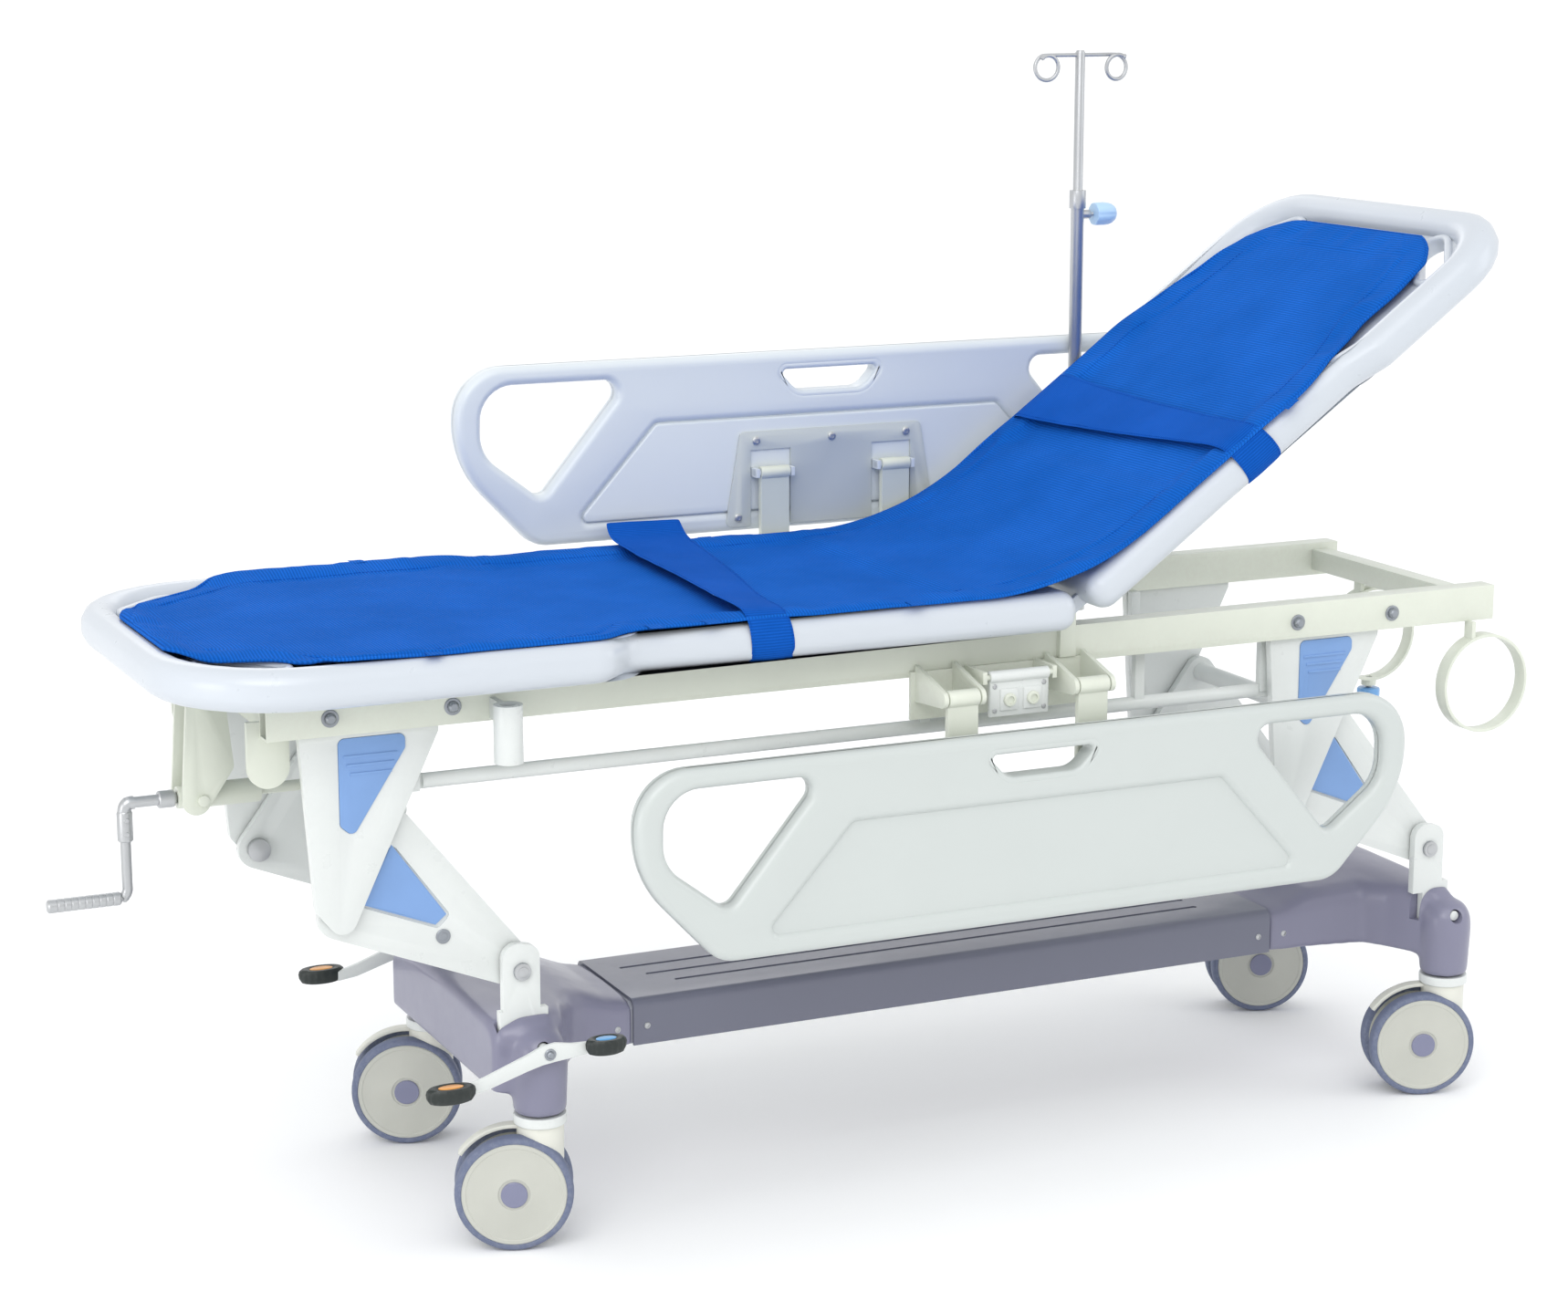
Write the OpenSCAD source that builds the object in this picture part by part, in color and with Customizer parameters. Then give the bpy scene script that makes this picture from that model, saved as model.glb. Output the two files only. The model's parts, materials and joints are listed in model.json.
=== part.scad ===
// Stretcher trolley: column-free lifting base on four twin casters, a two-section deck,
// fold-down side rails, an infusion pole and an oxygen-cylinder carrier.
// X runs from the foot end to the head end, Y across the trolley, Z up from the floor.
// The near side is -Y. Its side rail is drawn folded down and the far one locked up.

/* [Wheels] */
// Diameter of each caster wheel
wheel_d = 150; // [120:5:160]
// Width of one wheel of a twin pair
wheel_w = 21; // [16:1:22]
// How far the wheel axle trails behind the caster stem
wheel_trail = 34; // [25:1:40]
// Angle to which the casters are swivelled
caster_turn = 20; // [0:5:40]

/* [Base] */
// Centre of the foot casters along the trolley
caster_foot_x = -667; // [-675:1:-660]
// Centre of the head casters along the trolley
caster_head_x = 706; // [698:1:712]
// Half of the distance between the casters across the trolley
caster_y = 210; // [205:1:215]
// Half width of the narrow middle beam
beam_half_w = 100; // [95:1:110]

/* [Lift] */
// Half of the distance between the foot and head legs
leg_x = 683; // [680:1:686]
// Height of the leg pivots on the base
leg_pivot_z = 354; // [350:1:358]
// Length of a leg from pivot to pivot
leg_len = 247; // [240:1:252]
// Angle of the legs above level as drawn
leg_angle = 22; // [18:1:26]

/* [Deck] */
// Height of the top of the deck rim
deck_top = 787; // [785:1:789]
// Depth of the deck rim
rim_h = 52; // [46:1:54]
// Half width of the deck at its ends
deck_half_w = 316; // [310:1:320]
// Half width of the deck between the side rails
neck_half_w = 276; // [270:1:276]
// Half width of the backrest at its head end
back_half_w = 297; // [290:1:297]
// Angle of the raised backrest as drawn
back_angle = 36; // [30:1:40]
// Length of the backrest from its hinge
back_len = 810; // [800:5:830]

/* [Side rails] */
// Length of a side rail
rail_len = 1134; // [1100:2:1150]
// Height of a side rail
rail_h = 251; // [245:1:255]
// Thickness of a side rail
rail_t = 34; // [30:1:36]
// Distance between the two pivots of a swing arm
swing_len = 210; // [205:1:212]

/* [Infusion pole] */
// Height of the top of the outer pole
pole_mid_z = 1255; // [1200:5:1300]
// Height of the hook bar as drawn
hook_z = 1450; // [1430:5:1500]

/* [Oxygen carrier] */
// Outer radius of the two carrier rings
ring_r = 70; // [60:1:72]

/* [Hidden] */
$fn = 48;
HULL_FN = 32;
gap = 0.06;

// Ends of the whole model along X, which centre it on the origin
crank_x = -1126;
crank_grip_len = 100;
ring_x = 750;
ring_z = 592;
ring_near_y = -210;
ring_inner_y = 60;
ring_inner_z = 612;
x_shift = -(crank_x - crank_grip_len + ring_x + ring_r) / 2;

// Base
wall = 4;
base_z = 200;
column_r = 36;
column_z = 173;
seam_foot = -495;
seam_head = 485;
shaft_z = 263;
shaft_foot_x = -671;
shaft_head_x = 702;
ear_foot = 30;
ear_head = 8;
stem_r = 12;
stem_top = 236;
twin_gap = 13;
hub_r = 17;

// Legs
arm_out = 182;
arm_t = 12;
plate_out = 197;
plate_t = 12;
top_x = -leg_x - leg_len * cos(leg_angle);
top_z = leg_pivot_z + leg_len * sin(leg_angle);
head_dx = 2 * leg_x;
pin_r = 7;
corner_x = -838;
corner_z = 552;

// Lift screw
screw_x = -1034;
screw_z = 572;
nut_x = -832;
crank_r = 120;
crank_drop_z = screw_z - crank_r;

// Upper frame
rail_out = 207.4;
rail_w = 30;
rail_z0 = 681;
rail_z1 = 729;
frame_x0 = -1002;
frame_x1 = 767;

// Deck
hinge_x = 75;
hinge_z = deck_top - 32;
rim_w = 48;

// Side rails
rail_x = -20;
arm_y = 285.5;
swing_z = 667;
swing_x = 95;
swing_w = 44;
swing_t = 9;
panel_in = 299;
rail_top_z = 624;
panel_pivot_z = swing_z - swing_len;

// Pole
pole_x = 371;
pole_y = 288;
pole_r = 9.5;
pole_in_r = 7;
pole_foot_z = 645.5;
near_socket_x = -719;
near_socket_y = 262;

// Backrest gas spring
spring_x = 120;
spring_z = 715;
spring_s = 450;
spring_n = -20;
spring_end_x = hinge_x + spring_s * cos(back_angle) - spring_n * sin(back_angle);
spring_end_z = hinge_z + spring_s * sin(back_angle) + spring_n * cos(back_angle);
spring_angle = atan2(spring_end_z - spring_z, spring_end_x - spring_x);
spring_len = norm([spring_end_x - spring_x, spring_end_z - spring_z]);

// Colours
CREAM = [0.93, 0.93, 0.82];
WHITE = [0.95, 0.96, 0.97];
RAIL_WHITE = [0.92, 0.93, 0.9];
LAVENDER = [0.62, 0.6, 0.7];
BLUE = [0.42, 0.58, 0.88];
CLOTH_BLUE = [0.05, 0.34, 0.78];
GREY = [0.5, 0.54, 0.62];
BLACK = [0.12, 0.13, 0.13];
CHROME = [0.72, 0.72, 0.74];

// Puts a sub-part, drawn about the middle of the legs, into the frame of the whole model
module placed() {
  translate([x_shift, 0, 0]) children();
}

// Draws its children on both sides of the trolley
module both_sides() {
  children();
  mirror([0, 1, 0]) children();
}

// Cylinder along Y between two y values
module y_bar(x, z, r, y0, y1) {
  translate([x, y0, z]) rotate([-90, 0, 0]) cylinder(h = y1 - y0, r = r);
}

// Cylinder along X between two x values
module x_bar(y, z, r, x0, x1) {
  translate([x0, y, z]) rotate([0, 90, 0]) cylinder(h = x1 - x0, r = r);
}

// Box given by its lowest and highest corners
module box(lo, hi) {
  translate(lo) cube(hi - lo);
}

// Extrudes an outline drawn in X and Z along Y between two y values
module y_plate(y0, y1) {
  translate([0, y1, 0]) rotate([90, 0, 0]) linear_extrude(height = y1 - y0) children();
}

// ---------------------------------------------------------------- base

module base_chassis() placed() color(GREY) {
  for (s = [-1, 1]) box([caster_foot_x, s * 68 - 12, 210], [caster_head_x, s * 68 + 12, 230]);
  chassis_end(caster_foot_x, -leg_x, ear_foot);
  chassis_end(caster_head_x, leg_x, ear_head);
}

// Cross tube with a caster socket at each end and a pad for each pivot ear
module chassis_end(x, ear_x, ear_base) {
  difference() {
    union() {
      box([x - 23, -caster_y, 206], [x + 17, caster_y, 234]);
      for (s = [-1, 1]) {
        translate([x, s * caster_y, 176]) cylinder(h = 60.5, r = 24);
        box([ear_x - ear_base, s * 188 - 10, 206], [ear_x + 34, s * 188 + 10, 237]);
      }
    }
    for (s = [-1, 1]) translate([x, s * caster_y, 170]) cylinder(h = 90, r = stem_r + gap);
  }
}

module base_cover_middle() placed() color(LAVENDER) {
  difference() {
    box([seam_foot + 1, -beam_half_w, base_z], [seam_head - 1, beam_half_w, 262]);
    box([seam_foot - 1, -beam_half_w + wall, base_z - 1], [seam_head + 1, beam_half_w - wall, 262 - wall]);
    for (y = [-44, -6, 32]) box([seam_foot + 90, y, 260], [seam_head - 90, y + 8, 263]);
  }
}

// Half of the plan outline of an end cover; u is measured outwards from the seam
function cover_half(col_u, end_u, inset) = [
  [-inset, beam_half_w - inset], [45, beam_half_w + 5 - inset],
  [col_u - 80, beam_half_w + 26 - inset], [col_u - 52, beam_half_w + 56 - inset],
  [col_u - column_r + inset, caster_y], [col_u - 25, caster_y + 25 - inset],
  [col_u, caster_y + column_r - inset], [col_u + 25, caster_y + 25 - inset],
  [end_u - inset, caster_y - 10]
];

// Outside of an end cover, crowned across and rising from the seam; inset thins it all round
module cover_block(col_u, end_u, inset) {
  half = cover_half(col_u, end_u, inset);
  last = len(half) - 1;
  intersection() {
    translate([0, 0, base_z - inset]) linear_extrude(height = 130)
      polygon(concat(half, [for (i = [0:last]) [half[last - i][0], -half[last - i][1]]]));
    y_plate(-300, 300) polygon([
      [-20, base_z - 12], [end_u + 40, base_z - 12], [end_u + 40, 292 - inset], [col_u - 10, 302 - inset],
      [col_u - 70, 290 - inset], [30, 263 - inset], [-20, 262 - inset]
    ]);
    translate([-20, 0, 0]) rotate([90, 0, 90]) linear_extrude(height = 400) polygon([
      [-260, base_z - 12], [260, base_z - 12], [260, 276 - inset], [caster_y, 287 - inset], [170, 302 - inset],
      [-170, 302 - inset], [-caster_y, 287 - inset], [-260, 276 - inset]
    ]);
  }
}

// Hollow end cover with its two caster columns and its slots for the pivot ears and brake shaft
module end_cover(col_u, end_u, ear_u, shaft_u) {
  difference() {
    union() {
      cover_block(col_u, end_u, 0);
      for (s = [-1, 1]) translate([col_u, s * caster_y, column_z]) cylinder(h = 100, r = column_r);
    }
    cover_block(col_u, end_u, wall);
    for (s = [-1, 1]) {
      translate([col_u, s * caster_y, column_z - 1]) cylinder(h = 104, r = column_r - wall);
      box([ear_u - 36, s * 191 - 7.5, 262], [ear_u + 36, s * 191 + 7.5, 310]);
    }
    y_bar(shaft_u, shaft_z, 9, -260, 260);
  }
}

module base_cover_foot() placed() color(LAVENDER) translate([seam_foot, 0, 0]) mirror([1, 0, 0])
  end_cover(seam_foot - caster_foot_x, 229, leg_x + seam_foot, seam_foot - shaft_foot_x);

module base_cover_head() placed() color(LAVENDER) translate([seam_head, 0, 0])
  end_cover(caster_head_x - seam_head, 243, leg_x - seam_head, shaft_head_x - seam_head);

// Four upright ears on the chassis, which carry the legs
module pivot_ears() placed() color(WHITE)
  for (end = [0, 1]) both_sides() difference() {
    ear_x = end == 0 ? -leg_x : leg_x;
    hole_x = end == 0 ? shaft_foot_x : shaft_head_x;
    ear_base = end == 0 ? ear_foot : ear_head;
    union() {
      box([ear_x - ear_base, 185, 237.5], [ear_x + 34, 197, 304]);
      y_plate(185, 197) hull() {
        translate([ear_x - 25, 290]) square([49, 4]);
        translate([ear_x - 5, leg_pivot_z + 16]) circle(r = 20, $fn = HULL_FN);
        translate([ear_x + 6, leg_pivot_z + 16]) circle(r = 18, $fn = HULL_FN);
      }
    }
    y_bar(ear_x, leg_pivot_z, pin_r + 0.02, 180, 200);
    y_bar(hole_x, shaft_z, 9, 180, 200);
  }

module base_pivot_pins() placed() color(CHROME) for (x = [-leg_x, leg_x]) both_sides() {
  y_bar(x, leg_pivot_z, pin_r, 160, 203);
  y_bar(x, leg_pivot_z, 13, 161, 169.5);
  y_bar(x, leg_pivot_z, 11, 197.1, 202);
}

// ---------------------------------------------------------------- casters

// Puts a caster, drawn about its stem with its axle along Y, under one corner
module at_caster(x, side) {
  placed() translate([x, side * caster_y, 0]) rotate([0, 0, -caster_turn]) children();
}

module caster_fork(x, side) at_caster(x, side) {
  axle_z = wheel_d / 2;
  color(CREAM) difference() {
    union() {
      translate([0, 0, 104]) cylinder(h = 56, r = 31);
      y_bar(-wheel_trail, axle_z, 60, -9, 9);
    }
    for (s = [-1, 1]) y_bar(-wheel_trail, axle_z, wheel_d / 2 + 2, s == 1 ? 11 : -50, s == 1 ? 50 : -11);
    y_bar(-wheel_trail, axle_z, 6 + gap, -20, 20);
  }
  color(WHITE) translate([0, 0, 160]) cylinder(h = 12, r = 34);
  color(CHROME) translate([0, 0, 171]) cylinder(h = stem_top - 171, r = stem_r);
}

// Two wheel centres on one live axle
module caster_hubs(x, side) at_caster(x, side) color([0.86, 0.86, 0.82])
  translate([-wheel_trail, 0, wheel_d / 2]) rotate([90, 0, 0]) {
    cylinder(h = 2 * twin_gap, r = 6, center = true);
    for (s = [-1, 1]) mirror([0, 0, s == 1 ? 0 : 1]) {
      translate([0, 0, twin_gap - 0.5]) cylinder(h = wheel_w, r = wheel_d / 2 - 9);
      translate([0, 0, twin_gap + wheel_w - 1]) cylinder(h = 3, r = hub_r);
    }
  }

module caster_tyres(x, side) at_caster(x, side) color(GREY)
  translate([-wheel_trail, 0, wheel_d / 2]) rotate([90, 0, 0]) for (s = [-1, 1]) mirror([0, 0, s == 1 ? 0 : 1])
    rotate_extrude() translate([wheel_d / 2 - 9, twin_gap])
      polygon([[0.1, 0], [6, 0], [9, 4], [9, wheel_w - 5], [6, wheel_w - 1], [0.1, wheel_w - 1]]);

module caster_fork_foot_near() caster_fork(caster_foot_x, -1);
module caster_hubs_foot_near() caster_hubs(caster_foot_x, -1);
module caster_tyres_foot_near() caster_tyres(caster_foot_x, -1);
module caster_fork_foot_far() caster_fork(caster_foot_x, 1);
module caster_hubs_foot_far() caster_hubs(caster_foot_x, 1);
module caster_tyres_foot_far() caster_tyres(caster_foot_x, 1);
module caster_fork_head_near() caster_fork(caster_head_x, -1);
module caster_hubs_head_near() caster_hubs(caster_head_x, -1);
module caster_tyres_head_near() caster_tyres(caster_head_x, -1);
module caster_fork_head_far() caster_fork(caster_head_x, 1);
module caster_hubs_head_far() caster_hubs(caster_head_x, 1);
module caster_tyres_head_far() caster_tyres(caster_head_x, 1);

// ---------------------------------------------------------------- legs

// Triangular pocket for the coloured insert of a leg, grown all round by grow
module leg_insert_outline(grow) {
  offset(r = 7 + grow) offset(delta = -7)
    polygon([[corner_x - 6, corner_z - 17], [-884, 458], [-786, 419], [-770, 434]]);
}

// Pair of leg plates, joined by two tubes; with_lugs adds the lugs of the lift screw
module leg_arms(with_lugs) color(WHITE) {
  both_sides() difference() {
    y_plate(arm_out - arm_t, arm_out) hull() {
      translate([-leg_x, leg_pivot_z]) circle(r = 25, $fn = HULL_FN);
      translate([top_x, top_z]) circle(r = 26, $fn = HULL_FN);
      translate([corner_x, corner_z]) circle(r = 22, $fn = HULL_FN);
    }
    y_bar(-leg_x, leg_pivot_z, pin_r + gap, 150, 200);
    y_bar(top_x, top_z, pin_r + 1 + gap, 150, 200);
    y_plate(arm_out - 3, arm_out + 1) leg_insert_outline(0.4);
  }
  y_bar(-780, 408, 15, -arm_out + arm_t - 1, arm_out - arm_t + 1);
  if (with_lugs) both_sides() {
    y_bar(nut_x, screw_z, 13, 20, arm_out - arm_t + 1);
    y_plate(19, 26) hull() {
      translate([nut_x, screw_z]) circle(r = 18, $fn = HULL_FN);
      translate([nut_x - 6, screw_z - 30]) circle(r = 14, $fn = HULL_FN);
    }
  } else y_bar(corner_x, corner_z, 13, -arm_out + arm_t - 1, arm_out - arm_t + 1);
}

module leg_inserts() color(BLUE) both_sides()
  y_plate(arm_out - 2.7, arm_out + 1) leg_insert_outline(0);

module foot_leg_arms() placed() leg_arms(true);
module foot_leg_inserts() placed() leg_inserts();
module head_leg_arms() placed() translate([head_dx, 0, 0]) leg_arms(false);
module head_leg_inserts() placed() translate([head_dx, 0, 0]) leg_inserts();

// Triangular pocket in a leg plate under the frame
module plate_insert_outline(grow) {
  offset(r = 8 + grow) offset(delta = -8)
    polygon([[-912, 674], [-828, 674], [-828, 656], [-896, 552], [-912, 566]]);
}

// Triangular plates welded under the frame rails, whose lower tips carry the legs
module leg_plates() placed() color(WHITE) for (dx = [0, head_dx]) translate([dx, 0, 0]) both_sides()
  difference() {
    y_plate(plate_out - plate_t, plate_out) hull() {
      translate([-960, rail_z0 - 8]) square([175, 8]);
      translate([top_x - 14, top_z + 22]) circle(r = 19, $fn = HULL_FN);
      translate([top_x + 1, top_z + 2]) circle(r = 18, $fn = HULL_FN);
    }
    y_bar(top_x, top_z, pin_r + 1.02, 180, 192);
    y_plate(plate_out - 3, plate_out + 1) plate_insert_outline(0.4);
  }

module leg_plate_inserts() placed() color(BLUE) for (dx = [0, head_dx]) translate([dx, 0, 0]) both_sides() {
  y_plate(plate_out - 2.7, plate_out + 1) plate_insert_outline(0);
  for (i = [0:2]) box([-906 + 4 * i, plate_out + 0.5, 650 - 11 * i], [-838 - 4 * i, plate_out + 2.4, 653 - 11 * i]);
}

module top_pivot_pins() placed() color(CHROME) for (dx = [0, head_dx]) translate([dx, 0, 0]) both_sides() {
  y_bar(top_x, top_z, pin_r + 1, 160, 191.8);
  y_bar(top_x, top_z, 15, 160, 169.5);
}

// ---------------------------------------------------------------- upper frame

// Two hollow side rails with cross members, hinge lugs and the anchor of the gas spring
module frame_rails() placed() color(CREAM) {
  both_sides() {
    difference() {
      box([frame_x0, rail_out - rail_w, rail_z0], [frame_x1, rail_out, rail_z1]);
      box([frame_x0 - 1, rail_out - rail_w + 3, rail_z0 + 3], [frame_x1 + 1, rail_out - 3, rail_z1 - 3]);
    }
    y_plate(rail_out - 0.4, 217) hull() {
      translate([66, 690]) square([24, 4]);
      translate([hinge_x + 3, hinge_z]) circle(r = 11, $fn = HULL_FN);
    }
    y_bar(hinge_x, hinge_z, 5, 216, 227);
    y_plate(170, 177.5) hull() {
      translate([-1018, 690]) square([52, 10]);
      translate([-992, 643]) circle(r = 26, $fn = HULL_FN);
    }
  }
  for (x = [-1000, -420, 722]) box([x, -rail_out + rail_w, 690], [x + 28, rail_out - rail_w, 720]);
  box([86, -rail_out + rail_w, 681], [116, rail_out - rail_w, 703]);
  difference() {
    both_sides() y_plate(9, 15) hull() {
      translate([95, 702]) square([30, 2]);
      translate([spring_x, spring_z]) circle(r = 9, $fn = HULL_FN);
    }
    y_bar(spring_x, spring_z, 4 + gap, -20, 20);
  }
}

module frame_bolts() placed() color(CHROME) for (x = [-924, -770, 442, 596]) both_sides() {
  y_bar(x, 703, 10, rail_out, rail_out + 2.5);
  y_bar(x, 703, 7, rail_out + 2.4, rail_out + 9);
}

// Bumper tubes under the frame with flattened ends at the leg plates and the rail brackets
module side_tubes() placed() color(WHITE) both_sides() {
  x_bar(170, 605, 9.5, -800, 400);
  box([-822, 166, 596], [-796, 174, 614]);
  box([-822, 173.5, 596], [-806, 184.95, 614]);
  box([396, 166, 596], [424, 174, 614]);
  for (x = [-118, 206, 404]) box([x, 166, 604], [x + 14, 177, 682]);
}

// Socket of an infusion pole, welded to the outside of a frame rail
module pole_socket(x, y, bore_y) {
  difference() {
    union() {
      translate([x, y, 640]) cylinder(h = 72, r = 18);
      translate([x - 4, rail_out + 0.05, 684]) cube([8, y - rail_out - 8, 26]);
    }
    translate([x, bore_y, 645]) cylinder(h = 70, r = pole_r + gap);
  }
}

module pole_sockets() placed() color(WHITE) {
  mirror([0, 1, 0]) pole_socket(near_socket_x, near_socket_y, near_socket_y);
  pole_socket(pole_x, pole_y - 6, pole_y);
}

// Two plates under the foot end, which hold the lift screw
module crank_bracket() placed() color(CREAM) {
  both_sides() difference() {
    y_plate(23, 29) hull() {
      translate([-1036, 700]) circle(r = 15, $fn = HULL_FN);
      translate([-1017, 702]) circle(r = 14, $fn = HULL_FN);
      translate([-1006, 614]) circle(r = 12, $fn = HULL_FN);
      translate([screw_x - 8, screw_z]) circle(r = 18, $fn = HULL_FN);
    }
    y_bar(screw_x, screw_z, 7 + gap, 10, 40);
  }
  y_bar(-1034, 697, 7, -34, 34);
  box([-1012, -23.5, 694], [-1003.2, 23.5, 712]);
}

// Bands that hold an oxygen cylinder across the head end, with their hangers
module cylinder_rings() placed() color(CREAM) for (ring = [[ring_near_y, ring_z], [ring_inner_y, ring_inner_z]]) {
  y = ring[0];
  z = ring[1];
  difference() {
    union() {
      y_bar(ring_x, z, ring_r, y - 11, y + 11);
      if (y > 0) translate([ring_x, y, z - ring_r - 8]) cylinder(h = 11, r = 11);
    }
    y_bar(ring_x, z, ring_r - 4, y - 12, y + 12);
    if (y > 0) translate([ring_x, y, z - ring_r - 10]) cylinder(h = 20, r = 5 + gap);
  }
  box([ring_x - 26, y - 9, z + 64], [ring_x - 20, y + 9, y < 0 ? rail_z0 : 690]);
}

// Clamp screw with its knob under the inner carrier ring
module ring_clamp_knob() placed() translate([ring_x, ring_inner_y, ring_inner_z - ring_r]) {
  color(CHROME) translate([0, 0, -14]) cylinder(h = 17.5, r = 5);
  color(BLUE) translate([0, 0, -36]) cylinder(h = 24, r = 17);
}

// ---------------------------------------------------------------- deck

// Half-rounded outline of the foot section, shrunk all round by inset
module foot_outline(inset) {
  hull() {
    for (s = [-1, 1]) {
      translate([-979, s * 127]) circle(r = 153 - inset);
      translate([-940, s * (deck_half_w - 171)]) circle(r = 171 - inset);
    }
    translate([-700, -deck_half_w + inset]) square([96, 2 * (deck_half_w - inset)]);
  }
  polygon([
    [-606, deck_half_w - inset], [-562, neck_half_w - inset],
    [64 - inset, neck_half_w - inset], [64 - inset, -neck_half_w + inset],
    [-562, -neck_half_w + inset], [-606, -deck_half_w + inset]
  ]);
}

module deck_foot() placed() color(WHITE) {
  difference() {
    translate([0, 0, deck_top - rim_h]) linear_extrude(height = rim_h) foot_outline(0);
    translate([0, 0, deck_top - 22]) linear_extrude(height = 30) foot_outline(rim_w);
    translate([0, 0, deck_top - rim_h - 1]) linear_extrude(height = 19) foot_outline(rim_w);
    box([60, 205, deck_top - 60], [100, 228, deck_top + 1]);
    box([60, -228, deck_top - 60], [100, -205, deck_top + 1]);
  }
  for (x = [-940, -300], s = [-1, 1]) box([x, s * 192 - 12, rail_z1 + 0.2], [x + 60, s * 192 + 12, deck_top - rim_h + 20]);
}

// Outline of the backrest, with x measured along it from the hinge
module back_outline(inset) {
  hull() {
    for (s = [-1, 1]) translate([back_len - 110, s * (back_half_w - 110)]) circle(r = 110 - inset);
    translate([535, -back_half_w + inset]) square([10, 2 * (back_half_w - inset)]);
  }
  polygon([
    [20 + inset, neck_half_w - inset], [488, neck_half_w - inset], [536, back_half_w - inset],
    [536, -back_half_w + inset], [488, -neck_half_w + inset], [20 + inset, -neck_half_w + inset]
  ]);
}

// Turns a piece drawn level, with its hinge at the origin, to the backrest's angle
module on_backrest() {
  placed() translate([hinge_x, 0, hinge_z]) rotate([0, -back_angle, 0]) children();
}

module deck_backrest() on_backrest() color(WHITE) {
  difference() {
    translate([0, 0, -20]) linear_extrude(height = rim_h) back_outline(0);
    translate([0, 0, 10]) linear_extrude(height = 30) back_outline(rim_w);
    translate([0, 0, -21]) linear_extrude(height = 19) back_outline(rim_w);
    for (s = [-1, 1]) {
      hull() {
        translate([735, s * 176, -30]) cylinder(h = 80, r = 17, $fn = HULL_FN);
        translate([690, s * 228, -30]) cylinder(h = 80, r = 17, $fn = HULL_FN);
      }
      box([0, s * 216 - 12, -21], [72, s * 216 + 12, 33]);
    }
  }
  both_sides() difference() {
    union() {
      box([-4, 218.5, -9], [80, 226.5, 9]);
      y_bar(0, 0, 9, 218.5, 226.5);
    }
    y_bar(0, 0, 5 + gap, 210, 230);
  }
  difference() {
    both_sides() y_plate(9, 15) hull() {
      translate([spring_s - 14, -3]) square([28, 2]);
      translate([spring_s, spring_n]) circle(r = 8, $fn = HULL_FN);
    }
    y_bar(spring_s, spring_n, 4, -20, 20);
  }
  both_sides() y_bar(spring_s, spring_n, 4, 8, 17);
}

// Turns a piece drawn along X to the line of the gas spring
module on_spring() {
  placed() translate([spring_x, 0, spring_z]) rotate([0, -spring_angle, 0]) children();
}

module gas_spring_body() on_spring() {
  color(BLACK) difference() {
    x_bar(0, 0, 11, 16, 225);
    x_bar(0, 0, 9, 22, 220);
    x_bar(0, 0, 5 + gap, 200, 230);
  }
  color(CHROME) y_bar(0, 0, 4, -18, 18);
  color(CHROME) y_bar(0, 0, 8, -7, 7);
  color(CHROME) x_bar(0, 0, 6, 5, 18);
}

module gas_spring_rod() on_spring() color(CHROME) {
  x_bar(0, 0, 5, 150, spring_len - 6);
  x_bar(0, 0, 8.8, 150, 162);
  y_bar(spring_len, 0, 8, -6, 6);
}

// ---------------------------------------------------------------- lift screw and crank

// Tilting bearing with its cover tube; the screw is part of it
module lift_screw_housing() placed() {
  color(CREAM) {
    difference() {
      union() {
        y_bar(screw_x, screw_z, 17, -15, 15);
        x_bar(0, screw_z, 15.5, screw_x, screw_x + 78);
        x_bar(0, screw_z, 14, screw_x - 26, screw_x);
      }
      x_bar(0, screw_z, 13, screw_x + 22, screw_x + 90);
      x_bar(0, screw_z, 7 + gap, screw_x - 30, screw_x + 2);
    }
    y_bar(screw_x, screw_z, 7, 15 - 0.5, 33);
    y_bar(screw_x, screw_z, 7, -33, -15 + 0.5);
  }
  color(CHROME) x_bar(0, screw_z, 7, screw_x + 16, screw_x + 262);
}

// Nut tube that slides along the screw and pushes the foot legs
module lift_nut_tube() placed() color(CREAM) {
  difference() {
    union() {
      x_bar(0, screw_z, 12, nut_x - 66, nut_x + 40);
      y_bar(nut_x, screw_z, 14, -17.5, 17.5);
    }
    x_bar(0, screw_z, 7 + gap, nut_x - 70, nut_x + 50);
  }
}

module crank_arm() placed() color(CHROME) {
  x_bar(0, screw_z, 7, crank_x, screw_x - 4);
  x_bar(0, screw_z, 11, screw_x - 48, screw_x - 27);
  translate([crank_x, 0, crank_drop_z]) cylinder(h = crank_r, r = 6.5);
  translate([crank_x, 0, screw_z - 46]) cylinder(h = 34, r = 9.5);
  translate([crank_x, 0, screw_z]) sphere(r = 9);
  x_bar(0, crank_drop_z, 4.5, crank_x - 92, crank_x);
  translate([crank_x, 0, crank_drop_z]) sphere(r = 8);
}

module crank_grip() placed() color(CHROME) difference() {
  x_bar(0, crank_drop_z, 8.5, crank_x - crank_grip_len, crank_x - 9);
  x_bar(0, crank_drop_z, 4.5 + gap, crank_x - 93, crank_x);
}

// ---------------------------------------------------------------- side rails

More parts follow.
